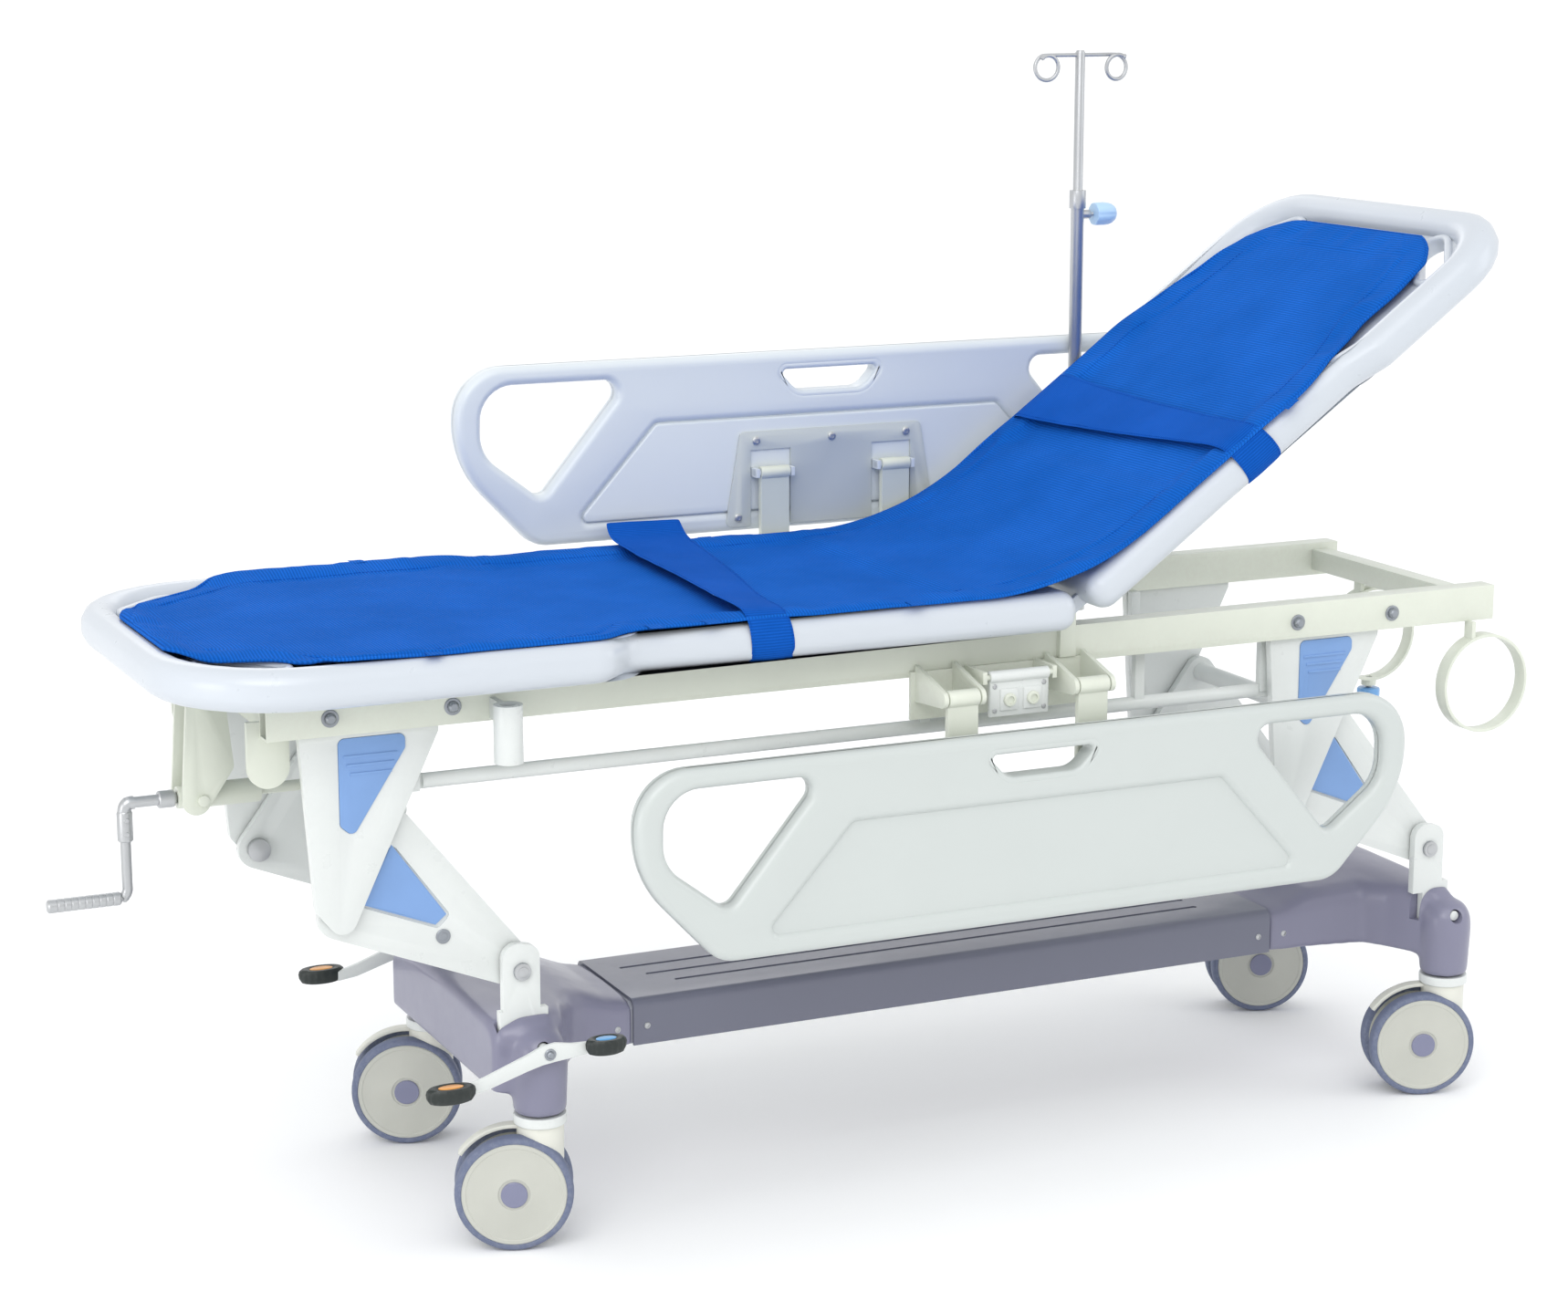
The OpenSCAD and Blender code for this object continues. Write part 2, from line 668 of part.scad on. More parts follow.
// Brackets on the frame with an axle for each swing arm and a hook for the latch
module rail_brackets() placed() color(CREAM) both_sides() {
  box([rail_x - 131, rail_out + 0.1, 626], [rail_x + 131, rail_out + 6, 689]);
  for (c = [-swing_x, swing_x]) {
    for (e = [-1, 1]) y_wing(rail_x + c + e * (swing_w / 2 + 5) - 3);
    x_bar(arm_y, swing_z, 6, rail_x + c - swing_w / 2 - 7, rail_x + c + swing_w / 2 + 7);
  }
  for (x = [rail_x - 54, rail_x + 48]) {
    box([x, rail_out + 5.9, 676], [x + 6, 266, 692]);
  }
  x_bar(262, 684, 4, rail_x - 50, rail_x + 50);
}

// Upright wing of a rail bracket, 6 thick, starting at x
module y_wing(x) {
  translate([x, 0, 0]) rotate([90, 0, 90]) linear_extrude(height = 6) hull() {
    translate([rail_out + 5, 650]) square([2, 48]);
    translate([arm_y, swing_z]) circle(r = 11, $fn = HULL_FN);
  }
}

// Pair of swing arms as they stand when the rail is folded down
module rail_arms() color(CREAM) for (c = [-swing_x, swing_x]) translate([rail_x + c, 0, 0]) difference() {
  union() {
    box([-swing_w / 2, arm_y - swing_t / 2, panel_pivot_z], [swing_w / 2, arm_y + swing_t / 2, swing_z]);
    x_bar(arm_y, swing_z, 11, -swing_w / 2, swing_w / 2);
    x_bar(arm_y, panel_pivot_z, 9, -swing_w / 2, swing_w / 2);
  }
  x_bar(arm_y, swing_z, 6 + gap, -swing_w, swing_w);
  x_bar(arm_y, panel_pivot_z, 5 + gap, -swing_w, swing_w);
}

// Outline of a side rail about its middle, folded down
module rail_outline() {
  hull() for (s = [-1, 1]) {
    translate([s * (rail_len / 2 - 80), rail_top_z - 80]) circle(r = 80);
    translate([s * (rail_len / 2 - 152), rail_top_z - rail_h + 35]) circle(r = 35);
  }
}

module rail_loop() {
  hull() {
    translate([-492, 565]) circle(r = 30);
    translate([-500, 520]) circle(r = 25);
    translate([-442, 457]) circle(r = 12);
    translate([-321, 588]) circle(r = 10);
  }
}

// Hand slot under the top edge, with a straight top and a bowed lower edge
module rail_slot() {
  hull() for (s = [-1, 1]) {
    translate([s * 69, 594]) circle(r = 6);
    translate([s * 40, 587]) circle(r = 20);
  }
}

// Moulded side-rail panel with its pivot lugs, folded down
module rail_panel() color(RAIL_WHITE) translate([rail_x, 0, 0]) {
  y_plate(panel_in, panel_in + rail_t) difference() {
    rail_outline();
    rail_loop();
    mirror([1, 0]) rail_loop();
    rail_slot();
  }
  for (c = [-swing_x, swing_x]) {
    x_bar(arm_y, panel_pivot_z, 5, c - swing_w / 2 - 8, c + swing_w / 2 + 8);
    for (e = [-1, 1]) box(
      [c + e * (swing_w / 2 + 5) - 3, arm_y - 6.5, panel_pivot_z - 6.5],
      [c + e * (swing_w / 2 + 5) + 3, panel_in + 1, panel_pivot_z + 6.5]);
  }
}

// Trapezoid plate screwed to the inner face of a side rail
module rail_plate() color(WHITE) translate([rail_x, 0, 0]) {
  y_plate(panel_in - 2.6, panel_in - 0.05) difference() {
    offset(r = 8) offset(delta = -8) polygon([[-165, 380], [165, 380], [142, 514], [-142, 514]]);
    for (c = [-swing_x, swing_x]) translate([c - swing_w / 2 - 9, 370]) square([swing_w + 18, 118]);
  }
  for (p = [[-146, 393], [146, 393], [0, 501], [-118, 501], [118, 501]])
    y_bar(p[0], p[1], 6, panel_in - 4.5, panel_in - 2.5);
}

// Spring-loaded latch plate that hangs from the bracket
module rail_latch() color(WHITE) translate([rail_x, 0, 0]) difference() {
  union() {
    box([-44, 260, 632], [42, 266, 684]);
    x_bar(262, 684, 8, -44, 42);
    box([-30, 265.9, 640], [-4, 269, 668]);
    box([4, 265.9, 640], [30, 269, 668]);
  }
  x_bar(262, 684, 4 + gap, -50, 50);
}

// Mirrors a near rail piece to the far side and lifts it by the swing's full travel
module far_up(lift) {
  placed() translate([0, 0, lift]) children();
}

module near_side() {
  placed() mirror([0, 1, 0]) children();
}

module rail_arms_near() near_side() rail_arms();
module rail_panel_near() near_side() rail_panel();
module rail_plate_near() near_side() rail_plate();
module rail_latch_near() near_side() rail_latch();
module rail_arms_far() far_up(swing_len) rail_arms_up();
module rail_panel_far() far_up(2 * swing_len) rail_panel();
module rail_plate_far() far_up(2 * swing_len) rail_plate();
module rail_latch_far() far_up(0) rail_latch();

// Swing arms turned over, which is how they stand when the rail is up
module rail_arms_up() mirror_z(swing_z - swing_len / 2) rail_arms();

// Mirrors its children about a level plane
module mirror_z(z) {
  translate([0, 0, 2 * z]) mirror([0, 0, 1]) children();
}

// ---------------------------------------------------------------- infusion pole

module pole_lower() placed() translate([pole_x, pole_y, 0]) color(CHROME) difference() {
  union() {
    translate([0, 0, pole_foot_z]) cylinder(h = pole_mid_z - pole_foot_z, r = pole_r);
    translate([0, 0, pole_mid_z - 24]) cylinder(h = 26, r = 12);
    x_bar(0, pole_mid_z - 33, 6.5, 5, 20);
  }
  translate([0, 0, pole_foot_z + 5]) cylinder(h = 700, r = pole_in_r + gap);
  x_bar(0, pole_mid_z - 33, 3 + gap, 0, 30);
}

// Inner pole with its hook bar and two pigtail hooks
module pole_upper() placed() translate([pole_x, pole_y, 0]) color(CHROME) {
  translate([0, 0, 700]) cylinder(h = hook_z + 7 - 700, r = pole_in_r);
  x_bar(0, hook_z, 3, -76, 76);
  for (s = [-1, 1]) translate([s * 62, 0, hook_z - 19]) rotate([90, 0, 90])
    rotate_extrude(angle = 320) translate([19, 0]) circle(r = 2.8);
}

module pole_clamp_knob() placed() translate([pole_x, pole_y, pole_mid_z - 33]) {
  color(CHROME) x_bar(0, 0, 3, 8, 30);
  color(BLUE) x_bar(0, 0, 17, 26, 50);
  color(BLUE) translate([50, 0, 0]) rotate([0, 90, 0]) cylinder(h = 14, r1 = 17, r2 = 7);
}

// ---------------------------------------------------------------- brake

// Rocker lever of one side, from the pad at the foot end to the short pad
module brake_lever() {
  y_plate(253, 260) difference() {
    union() {
      hull() {
        translate([shaft_foot_x, shaft_z]) circle(r = 12, $fn = HULL_FN);
        translate([shaft_foot_x - 100, shaft_z - 32]) circle(r = 8, $fn = HULL_FN);
      }
      hull() {
        translate([shaft_foot_x, shaft_z]) circle(r = 12, $fn = HULL_FN);
        translate([shaft_foot_x + 46, shaft_z + 2]) circle(r = 8, $fn = HULL_FN);
      }
    }
  }
}

// Shaft across the foot end with a rocker lever at each side and a crank for the link rod
module brake_shaft_foot() placed() color(WHITE) {
  y_bar(shaft_foot_x, shaft_z, 7, -262, 262);
  both_sides() brake_lever();
  for (y = [-14, 8]) box([shaft_foot_x - 6, y, shaft_z - 26], [shaft_foot_x + 6, y + 6, shaft_z]);
}

module brake_pads() placed() color(BLACK) both_sides() {
  brake_pad(shaft_foot_x - 132, shaft_z - 30, 32);
  brake_pad(shaft_foot_x + 72, shaft_z + 4, 27);
}

// Oval foot pad
module brake_pad(x, z, half_len) {
  hull() for (e = [-1, 1]) translate([x + e * (half_len - 16), 266, z - 10]) {
    cylinder(h = 12, r1 = 13, r2 = 16, $fn = HULL_FN);
    cylinder(h = 20, r = 12, $fn = HULL_FN);
  }
}

module brake_link_rod() placed() color(CHROME)
  x_bar(0, shaft_z - 19, 4, shaft_foot_x, shaft_head_x);

module brake_shaft_head() placed() color(WHITE) {
  y_bar(shaft_head_x, shaft_z, 7, -236, 236);
  for (y = [-14, 8]) box([shaft_head_x - 6, y, shaft_z - 26], [shaft_head_x + 6, y + 6, shaft_z]);
}

// ---------------------------------------------------------------- soft parts

module mattress_seat() placed() color(CLOTH_BLUE) translate([0, 0, deck_top + 1])
  linear_extrude(height = 22) hull() {
    for (s = [-1, 1]) {
      translate([-1050, s * 150]) circle(r = 50);
      translate([-960, s * 236]) circle(r = 30);
      translate([30, s * 250]) square([32, 20], center = true);
    }
  }

module mattress_back() on_backrest() color(CLOTH_BLUE) translate([0, 0, 33])
  linear_extrude(height = 22) hull() {
    for (s = [-1, 1]) {
      translate([46, s * 250]) square([40, 20], center = true);
      translate([700, s * 190]) circle(r = 60);
    }
  }

module strap_thigh() placed() color(CLOTH_BLUE)
  box([-415, -272, deck_top + 23.3], [-355, 272, deck_top + 26]);

module strap_chest() on_backrest() color(CLOTH_BLUE)
  box([370, -272, 55.3], [430, 272, 58]);

base_chassis();
base_cover_middle();
base_cover_foot();
base_cover_head();
pivot_ears();
base_pivot_pins();
caster_fork_foot_near();
caster_hubs_foot_near();
caster_tyres_foot_near();
caster_fork_foot_far();
caster_hubs_foot_far();
caster_tyres_foot_far();
caster_fork_head_near();
caster_hubs_head_near();
caster_tyres_head_near();
caster_fork_head_far();
caster_hubs_head_far();
caster_tyres_head_far();
foot_leg_arms();
foot_leg_inserts();
head_leg_arms();
head_leg_inserts();
frame_rails();
leg_plates();
leg_plate_inserts();
top_pivot_pins();
frame_bolts();
side_tubes();
pole_sockets();
crank_bracket();
cylinder_rings();
ring_clamp_knob();
deck_foot();
deck_backrest();
gas_spring_body();
gas_spring_rod();
lift_screw_housing();
lift_nut_tube();
crank_arm();
crank_grip();
rail_brackets();
rail_arms_near();
rail_panel_near();
rail_plate_near();
rail_latch_near();
rail_arms_far();
rail_panel_far();
rail_plate_far();
rail_latch_far();
pole_lower();
pole_upper();
pole_clamp_knob();
brake_shaft_foot();
brake_pads();
brake_link_rod();
brake_shaft_head();
mattress_seat();
mattress_back();
strap_thigh();
strap_chest();
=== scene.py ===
"""Looks of the stretcher trolley: finished pieces, fabrics, materials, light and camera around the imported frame.

All lengths are metres in the frame's own axes: X towards the head end, Y to the far side, Z up.
"""
import json
import math

import bmesh
import bpy
import numpy as np
from mathutils import Matrix, Vector, noise


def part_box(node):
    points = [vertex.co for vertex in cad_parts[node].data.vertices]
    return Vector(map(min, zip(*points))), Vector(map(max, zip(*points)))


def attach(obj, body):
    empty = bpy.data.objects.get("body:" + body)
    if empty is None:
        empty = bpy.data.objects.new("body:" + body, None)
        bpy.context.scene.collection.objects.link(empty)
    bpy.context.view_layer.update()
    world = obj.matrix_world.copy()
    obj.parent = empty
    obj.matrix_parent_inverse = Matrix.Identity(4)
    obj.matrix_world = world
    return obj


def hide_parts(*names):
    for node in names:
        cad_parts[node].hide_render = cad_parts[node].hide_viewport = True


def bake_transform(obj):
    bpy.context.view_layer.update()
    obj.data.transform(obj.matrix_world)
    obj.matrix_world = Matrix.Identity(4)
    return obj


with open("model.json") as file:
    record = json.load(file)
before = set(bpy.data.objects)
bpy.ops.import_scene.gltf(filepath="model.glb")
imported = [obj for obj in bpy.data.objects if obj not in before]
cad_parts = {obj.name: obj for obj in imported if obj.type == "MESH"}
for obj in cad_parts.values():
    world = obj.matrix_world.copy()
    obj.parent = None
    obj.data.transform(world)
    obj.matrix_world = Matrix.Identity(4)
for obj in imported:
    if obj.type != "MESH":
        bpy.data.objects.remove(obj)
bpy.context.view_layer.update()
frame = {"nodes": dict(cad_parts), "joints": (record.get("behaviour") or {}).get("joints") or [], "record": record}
cad = frame["nodes"]
joint = {j["name"]: j for j in frame["joints"]}
slot_of = {p["node"]: p["material_slot"] for p in frame["record"]["subparts"]}
body_of = {n: b for b, ns in frame["record"]["behaviour"]["bodies"].items() for n in ns}

# ---------------------------------------------------------------- places taken from the frame

HINGE = Vector(joint["backrest_tilt"]["pos_m"])
BACK_ANGLE = math.radians(36)
BACK = Matrix.Translation(HINGE) @ Matrix.Rotation(-BACK_ANGLE, 4, "Y")
FOOT_LO, FOOT_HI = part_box("deck_foot")
DECK_TOP = FOOT_HI.z
RIM_DEEP = 0.052
DECK_HALF = FOOT_HI.y
NECK_HALF = 0.276
BACK_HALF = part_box("deck_backrest")[1].y
RIM_LIFT = DECK_TOP - HINGE.z
RAIL_X = joint["rail_swing_near"]["pos_m"][0]
SIDES = (("near", -1), ("far", 1))
CORNERS = ("foot_near", "foot_far", "head_near", "head_far")

# ---------------------------------------------------------------- camera, floor and light


def make_camera():
    camera = bpy.data.objects.new("camera", bpy.data.cameras.new("camera"))
    bpy.context.scene.collection.objects.link(camera)
    camera.location = (-1.8438, -3.9078, 1.5973)
    camera.rotation_euler = (math.radians(90 - 12.06), 0, math.radians(-24.91))
    camera.data.sensor_width = 36
    camera.data.lens = 75.88
    camera.data.clip_end = 400
    bpy.context.scene.camera = camera


def area_light(name, place, target, size, power, colour=(1, 1, 1)):
    lamp = bpy.data.lights.new(name, "AREA")
    lamp.shape = "RECTANGLE"
    lamp.size, lamp.size_y = size
    lamp.energy = power
    lamp.color = colour
    obj = bpy.data.objects.new(name, lamp)
    bpy.context.scene.collection.objects.link(obj)
    obj.location = place
    obj.rotation_euler = (Vector(target) - Vector(place)).to_track_quat("-Z", "Y").to_euler()


def make_studio():
    bpy.ops.mesh.primitive_plane_add(size=240)
    floor = bpy.context.object
    floor.name = "studio_floor"
    floor.data.materials.append(flat_material("studio_floor", (0.965, 0.968, 0.97), 0.9))
    sun = bpy.data.lights.new("soft_sun", "SUN")
    sun.energy = 0.75
    sun.angle = math.radians(50)
    sun_obj = bpy.data.objects.new("soft_sun", sun)
    bpy.context.scene.collection.objects.link(sun_obj)
    sun_obj.rotation_euler = (math.radians(38), math.radians(-24), 0)
    area_light("key", (-2.6, -3.2, 3.4), (0, 0, 0.7), (2.4, 1.6), 26)
    area_light("side", (3.4, -1.6, 2.0), (0.3, 0, 0.7), (1.4, 2.2), 12, (0.95, 0.98, 1))
    area_light("back", (0.5, 3.6, 2.6), (0, 0, 0.8), (3.0, 1.2), 12)
    area_light("left", (-3.4, -0.9, 0.9), (-0.5, 0, 0.4), (1.2, 1.2), 12)
    world = bpy.data.worlds.new("studio")
    bpy.context.scene.world = world
    world.use_nodes = True
    tree = world.node_tree
    coords = tree.nodes.new("ShaderNodeTexCoord")
    split = tree.nodes.new("ShaderNodeSeparateXYZ")
    ramp = tree.nodes.new("ShaderNodeValToRGB")
    tree.links.new(coords.outputs["Generated"], split.inputs[0])
    tree.links.new(split.outputs["Z"], ramp.inputs[0])
    ramp.color_ramp.elements[0].color = (0.97, 0.97, 0.97, 1)
    ramp.color_ramp.elements[1].color = (0.98, 0.99, 1.0, 1)
    middle = ramp.color_ramp.elements.new(0.12)
    middle.color = (0.97, 0.975, 0.98, 1)
    background = tree.nodes["Background"]
    tree.links.new(ramp.outputs[0], background.inputs["Color"])
    background.inputs["Strength"].default_value = 0.98
    bpy.context.scene.view_settings.view_transform = "Standard"
    bpy.context.scene.view_settings.look = "None"


# ---------------------------------------------------------------- materials


def flat_material(name, colour, roughness):
    mat = bpy.data.materials.new(name)
    mat.use_nodes = True
    bsdf = mat.node_tree.nodes["Principled BSDF"]
    bsdf.inputs["Base Color"].default_value = (*colour, 1)
    bsdf.inputs["Roughness"].default_value = roughness
    return mat


class Nodes:
    """Short way to add and join nodes in one material."""

    def __init__(self, mat):
        self.tree = mat.node_tree
        self.bsdf = self.tree.nodes["Principled BSDF"]

    def add(self, kind, **values):
        node = self.tree.nodes.new("ShaderNode" + kind)
        for key, value in values.items():
            if hasattr(node, key):
                setattr(node, key, value)
            else:
                node.inputs[key.replace("_", " ")].default_value = value
        return node

    def texture(self, coords, size, out=0, **values):
        node = self.add("TexNoise", **values)
        node.inputs["Scale"].default_value = 1 / size
        self.tree.links.new(coords, node.inputs["Vector"])
        return node.outputs[out]

    def spread(self, source, low, high, start=0.3, stop=0.7):
        """Spreads a value between two others."""
        node = self.add("MapRange")
        for key, value in (("From Min", start), ("From Max", stop), ("To Min", low), ("To Max", high)):
            node.inputs[key].default_value = value
        self.tree.links.new(source, node.inputs["Value"])
        return node.outputs[0]

    def mix(self, factor, first, second, blend="MIX"):
        node = self.add("Mix", data_type="RGBA", blend_type=blend)
        for key, value in ((0, factor), (6, first), (7, second)):
            if isinstance(value, tuple):
                node.inputs[key].default_value = (*value, 1)
            elif isinstance(value, (int, float)):
                node.inputs[key].default_value = value
            else:
                self.tree.links.new(value, node.inputs[key])
        return node.outputs[2]

    def maths(self, operation, first, second=0.0):
        node = self.add("Math", operation=operation)
        for key, value in enumerate((first, second)):
            if isinstance(value, (int, float)):
                node.inputs[key].default_value = value
            else:
                self.tree.links.new(value, node.inputs[key])
        return node.outputs[0]

    def bump(self, height, strength, distance, below=None):
        node = self.add("Bump")
        node.inputs["Strength"].default_value = strength
        node.inputs["Distance"].default_value = distance
        self.tree.links.new(height, node.inputs["Height"])
        if below is not None:
            self.tree.links.new(below, node.inputs["Normal"])
        return node.outputs[0]

    def to(self, socket, source):
        self.tree.links.new(source, self.bsdf.inputs[socket])


def surface(name, colour, roughness, metallic=0.0, coat=0.0, mottle=0.05, grain=0.0009, bump=0.06,
            wear=0.0, wear_colour=(0.75, 0.76, 0.78), rough_spread=0.08, wave=0.0):
    """Painted, plated, rubber or moulded surface with cloudy colour, fine grain and rubbed edges."""
    mat = bpy.data.materials.new(name)
    mat.use_nodes = True
    n = Nodes(mat)
    coords = n.add("TexCoord").outputs["Object"]
    clouds = n.texture(coords, 0.11, Detail=6.0, Roughness=0.6)
    specks = n.texture(coords, 0.006, Detail=4.0, Roughness=0.7)
    dark = tuple(c * (1 - mottle) for c in colour)
    light = tuple(min(c * (1 + mottle * 0.7), 1) for c in colour)
    tint = n.mix(n.spread(clouds, 0, 1), dark, light)
    tint = n.mix(n.spread(specks, 0, mottle * 1.5, 0.55, 0.75), tint, dark)
    if wear:
        edges = n.add("NewGeometry").outputs["Pointiness"]
        rubbed = n.maths("MULTIPLY", n.spread(edges, 0, 1, 0.52, 0.6), n.spread(specks, 0, wear, 0.42, 0.62))
        tint = n.mix(rubbed, tint, wear_colour)
    n.to("Base Color", tint)
    smudges = n.texture(coords, 0.035, Detail=5.0, Roughness=0.65)
    n.to("Roughness", n.spread(smudges, roughness - rough_spread, roughness + rough_spread))
    normal = n.bump(n.texture(coords, grain, Detail=3.0), bump, 0.0004)
    if wave:
        normal = n.bump(n.texture(coords, 0.02, Detail=2.0), wave, 0.001, normal)
    n.to("Normal", normal)
    n.bsdf.inputs["Metallic"].default_value = metallic
    n.bsdf.inputs["Coat Weight"].default_value = coat
    n.bsdf.inputs["Coat Roughness"].default_value = 0.12
    return mat


def corded_fabric(name, colour, rib=0.0042, thread=0.0011, fold=0.35):
    """Woven cloth with ribs across the piece; its map is in metres along and across the cloth."""
    mat = bpy.data.materials.new(name)
    mat.use_nodes = True
    n = Nodes(mat)
    cloth = n.add("UVMap", uv_map="weave").outputs[0]
    wave_length = 0.314

    def bands(direction, pitch):
        node = n.add("TexWave", wave_type="BANDS", bands_direction=direction, wave_profile="SIN")
        node.inputs["Scale"].default_value = wave_length / pitch
        node.inputs["Distortion"].default_value = 0.6
        node.inputs["Detail"].default_value = 1.5
        node.inputs["Detail Scale"].default_value = 0.6
        n.tree.links.new(cloth, node.inputs["Vector"])
        return node.outputs["Fac"]

    ribs = bands("X", rib)
    threads = bands("Y", thread)
    fuzz = n.texture(cloth, 0.0016, Detail=4.0, Roughness=0.7)
    fading = n.texture(cloth, 0.16, Detail=5.0, Roughness=0.55)
    deep = tuple(c * 0.62 for c in colour)
    pale = tuple(min(c * 1.22 + 0.006, 1) for c in colour)
    tint = n.mix(n.spread(fading, 0, 1, 0.3, 0.72), tuple(c * 0.9 for c in colour), pale)
    # Darker in the rib valleys: painted shade between the ribs.
    tint = n.mix(n.maths("MULTIPLY", n.maths("SUBTRACT", 1.0, ribs), 0.75), tint, deep)
    tint = n.mix(n.spread(fuzz, 0, 0.35, 0.5, 0.8), tint, deep)
    n.to("Base Color", tint)
    n.to("Roughness", n.spread(fuzz, 0.7, 0.95))
    height = n.maths("ADD", ribs, n.maths("MULTIPLY", threads, 0.35))
    height = n.maths("ADD", height, n.maths("MULTIPLY", fuzz, 0.4))
    creases = n.texture(cloth, 0.045, Detail=5.0, Roughness=0.6, Distortion=0.8)
    n.to("Normal", n.bump(height, 0.55, 0.0007, n.bump(creases, fold, 0.004)))
    n.bsdf.inputs["Sheen Weight"].default_value = 0.01
    n.bsdf.inputs["Sheen Roughness"].default_value = 0.45
    n.bsdf.inputs["Specular IOR Level"].default_value = 0.03
    return mat


def make_materials():
    return {
        "chassis": surface("dark_painted_steel", (0.30, 0.31, 0.36), 0.5, bump=0.1),
        "base_cover": surface("lavender_moulding", (0.200, 0.198, 0.280), 0.34, coat=0.3, mottle=0.015,
        bump=0.04,
                              wear=0.06, wear_colour=(0.42, 0.41, 0.52), rough_spread=0.04),
        "white_metal": surface("white_powder_coat", (0.68, 0.705, 0.69), 0.33, coat=0.2, mottle=0.03,
        grain=0.0016,
                               bump=0.10, wear=0.25, wear_colour=(0.6, 0.61, 0.6)),
        "cream_metal": surface("cream_powder_coat", (0.665, 0.695, 0.605), 0.36, coat=0.15, mottle=0.04,
        grain=0.0016,
                               bump=0.10, wear=0.3, wear_colour=(0.62, 0.62, 0.54)),
        "insert": surface("blue_insert", (0.19, 0.335, 0.63), 0.42, mottle=0.05, bump=0.08),
        "chrome": surface("chrome_plate", (0.50, 0.51, 0.52), 0.36, metallic=0.8, mottle=0.08, grain=0.002,
                          bump=0.015, rough_spread=0.06),
        "caster_body": surface("cream_nylon", (0.70, 0.70, 0.63), 0.40, mottle=0.03, bump=0.07),
        "wheel_disc": surface("warm_grey_disc", (0.505, 0.51, 0.46), 0.45, mottle=0.05, bump=0.10),
        "tyre": surface("blue_grey_tread", (0.13, 0.155, 0.245), 0.62, mottle=0.12, grain=0.0014, bump=0.2,
                        wear=0.5, wear_colour=(0.32, 0.34, 0.4)),
        "deck": surface("cool_white_moulding", (0.555, 0.592, 0.64), 0.30, coat=0.2, mottle=0.010, bump=0.012,
        rough_spread=0.03),
        "rail_panel": surface("ivory_moulding", (0.54, 0.575, 0.56), 0.32, coat=0.2, mottle=0.010, bump=0.012,
                              rough_spread=0.03),
        "knob": surface("light_blue_knob", (0.16, 0.38, 0.72), 0.34, coat=0.3, mottle=0.04, bump=0.05),
        "pedal": surface("ribbed_black_rubber", (0.014, 0.020, 0.018), 0.42, mottle=0.2, grain=0.0012,
        bump=0.2,
                         wear=0.5, wear_colour=(0.07, 0.08, 0.08)),
        "spring_black": surface("black_enamel", (0.012, 0.012, 0.013), 0.25, coat=0.5, mottle=0.15,
        bump=0.04),
        "mattress": corded_fabric("royal_blue_cover", (0.006, 0.120, 0.545)),
        "strap": corded_fabric("royal_blue_strap", (0.0055, 0.100, 0.50), rib=0.0036, fold=0.2),
        # Looks that have no slot of their own in the record
        "insert_grey": spot_material("lavender_hub_cap", (0.195, 0.203, 0.305)),
        "bolt": surface("dull_zinc", (0.30, 0.32, 0.35), 0.38, metallic=0.85, mottle=0.15, grain=0.002,
        bump=0.04),
        "dot_orange": spot_material("orange_dot", (0.78, 0.34, 0.07)),
        "dot_blue": spot_material("light_blue_dot", (0.12, 0.38, 0.72)),
        "pale_knob": surface("pale_blue_knob", (0.44, 0.64, 0.86), 0.34, coat=0.3, mottle=0.03, bump=0.05),
        # Lighter, bluer copy of the rail moulding for the far rail: painted light, standing in for the brighter
        # light and the blue bounce from the pad on that rail.
        "far_rail": surface("cool_ivory_moulding", (0.64, 0.685, 0.715), 0.32, coat=0.2, mottle=0.010,
        bump=0.012,
                            rough_spread=0.03),
        # Darker copy of the lavender moulding for the middle beam cover: painted shade, standing in for the shadow
        # of the rail falling on the beam.
        "beam_cover": surface("deep_lavender_moulding", (0.140, 0.146, 0.198), 0.34, coat=0.3, mottle=0.010,
                              bump=0.03, rough_spread=0.03),
    }


def spot_material(name, colour):
    return surface(name, colour, 0.35, coat=0.3, mottle=0.05, bump=0.05)


# ---------------------------------------------------------------- shape helpers


def as_object(name, mesh):
    obj = bpy.data.objects.new(name, mesh)
    bpy.context.scene.collection.objects.link(obj)
    return obj


def shade(obj, angle=32):
    """Shades smooth, with sharp edges where the surface turns by more than the angle."""
    obj.data.polygons.foreach_set("use_smooth", [True] * len(obj.data.polygons))
    obj.data.set_sharp_from_angle(angle=math.radians(angle))
    return obj


def applied(obj):
    """Replaces an object's mesh by the result of its modifiers."""
    graph = bpy.context.evaluated_depsgraph_get()
    mesh = bpy.data.meshes.new_from_object(obj.evaluated_get(graph))
    obj.modifiers.clear()
    obj.data = mesh
    return obj


def joined(name, objs):
    """Joins objects into one, with their places applied."""
    mesh = bpy.data.meshes.new(name)
    bm = bmesh.new()
    for obj in objs:
        obj.data.transform(obj.matrix_basis)
        bm.from_mesh(obj.data)
        bpy.data.objects.remove(obj)
    bm.to_mesh(mesh)
    bm.free()
    return as_object(name, mesh)


def add(obj, node, name=None, material=None, angle=32):
    """Finishes a piece that stands for a CAD node: material (from the node's slot unless one is given), body and
    what it replaces.
    """
    if name:
        obj.name = name
    detail(obj, node, material, angle)
    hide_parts(node)
    return obj


def detail(obj, node, material=None, angle=32):
    """Finishes an extra piece that goes with a CAD node and replaces nothing."""
    shade(obj, angle)
    obj.data.materials.clear()
    obj.data.materials.append(material or MATERIALS[slot_of[node]])
    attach(obj, body_of[node])
    return obj


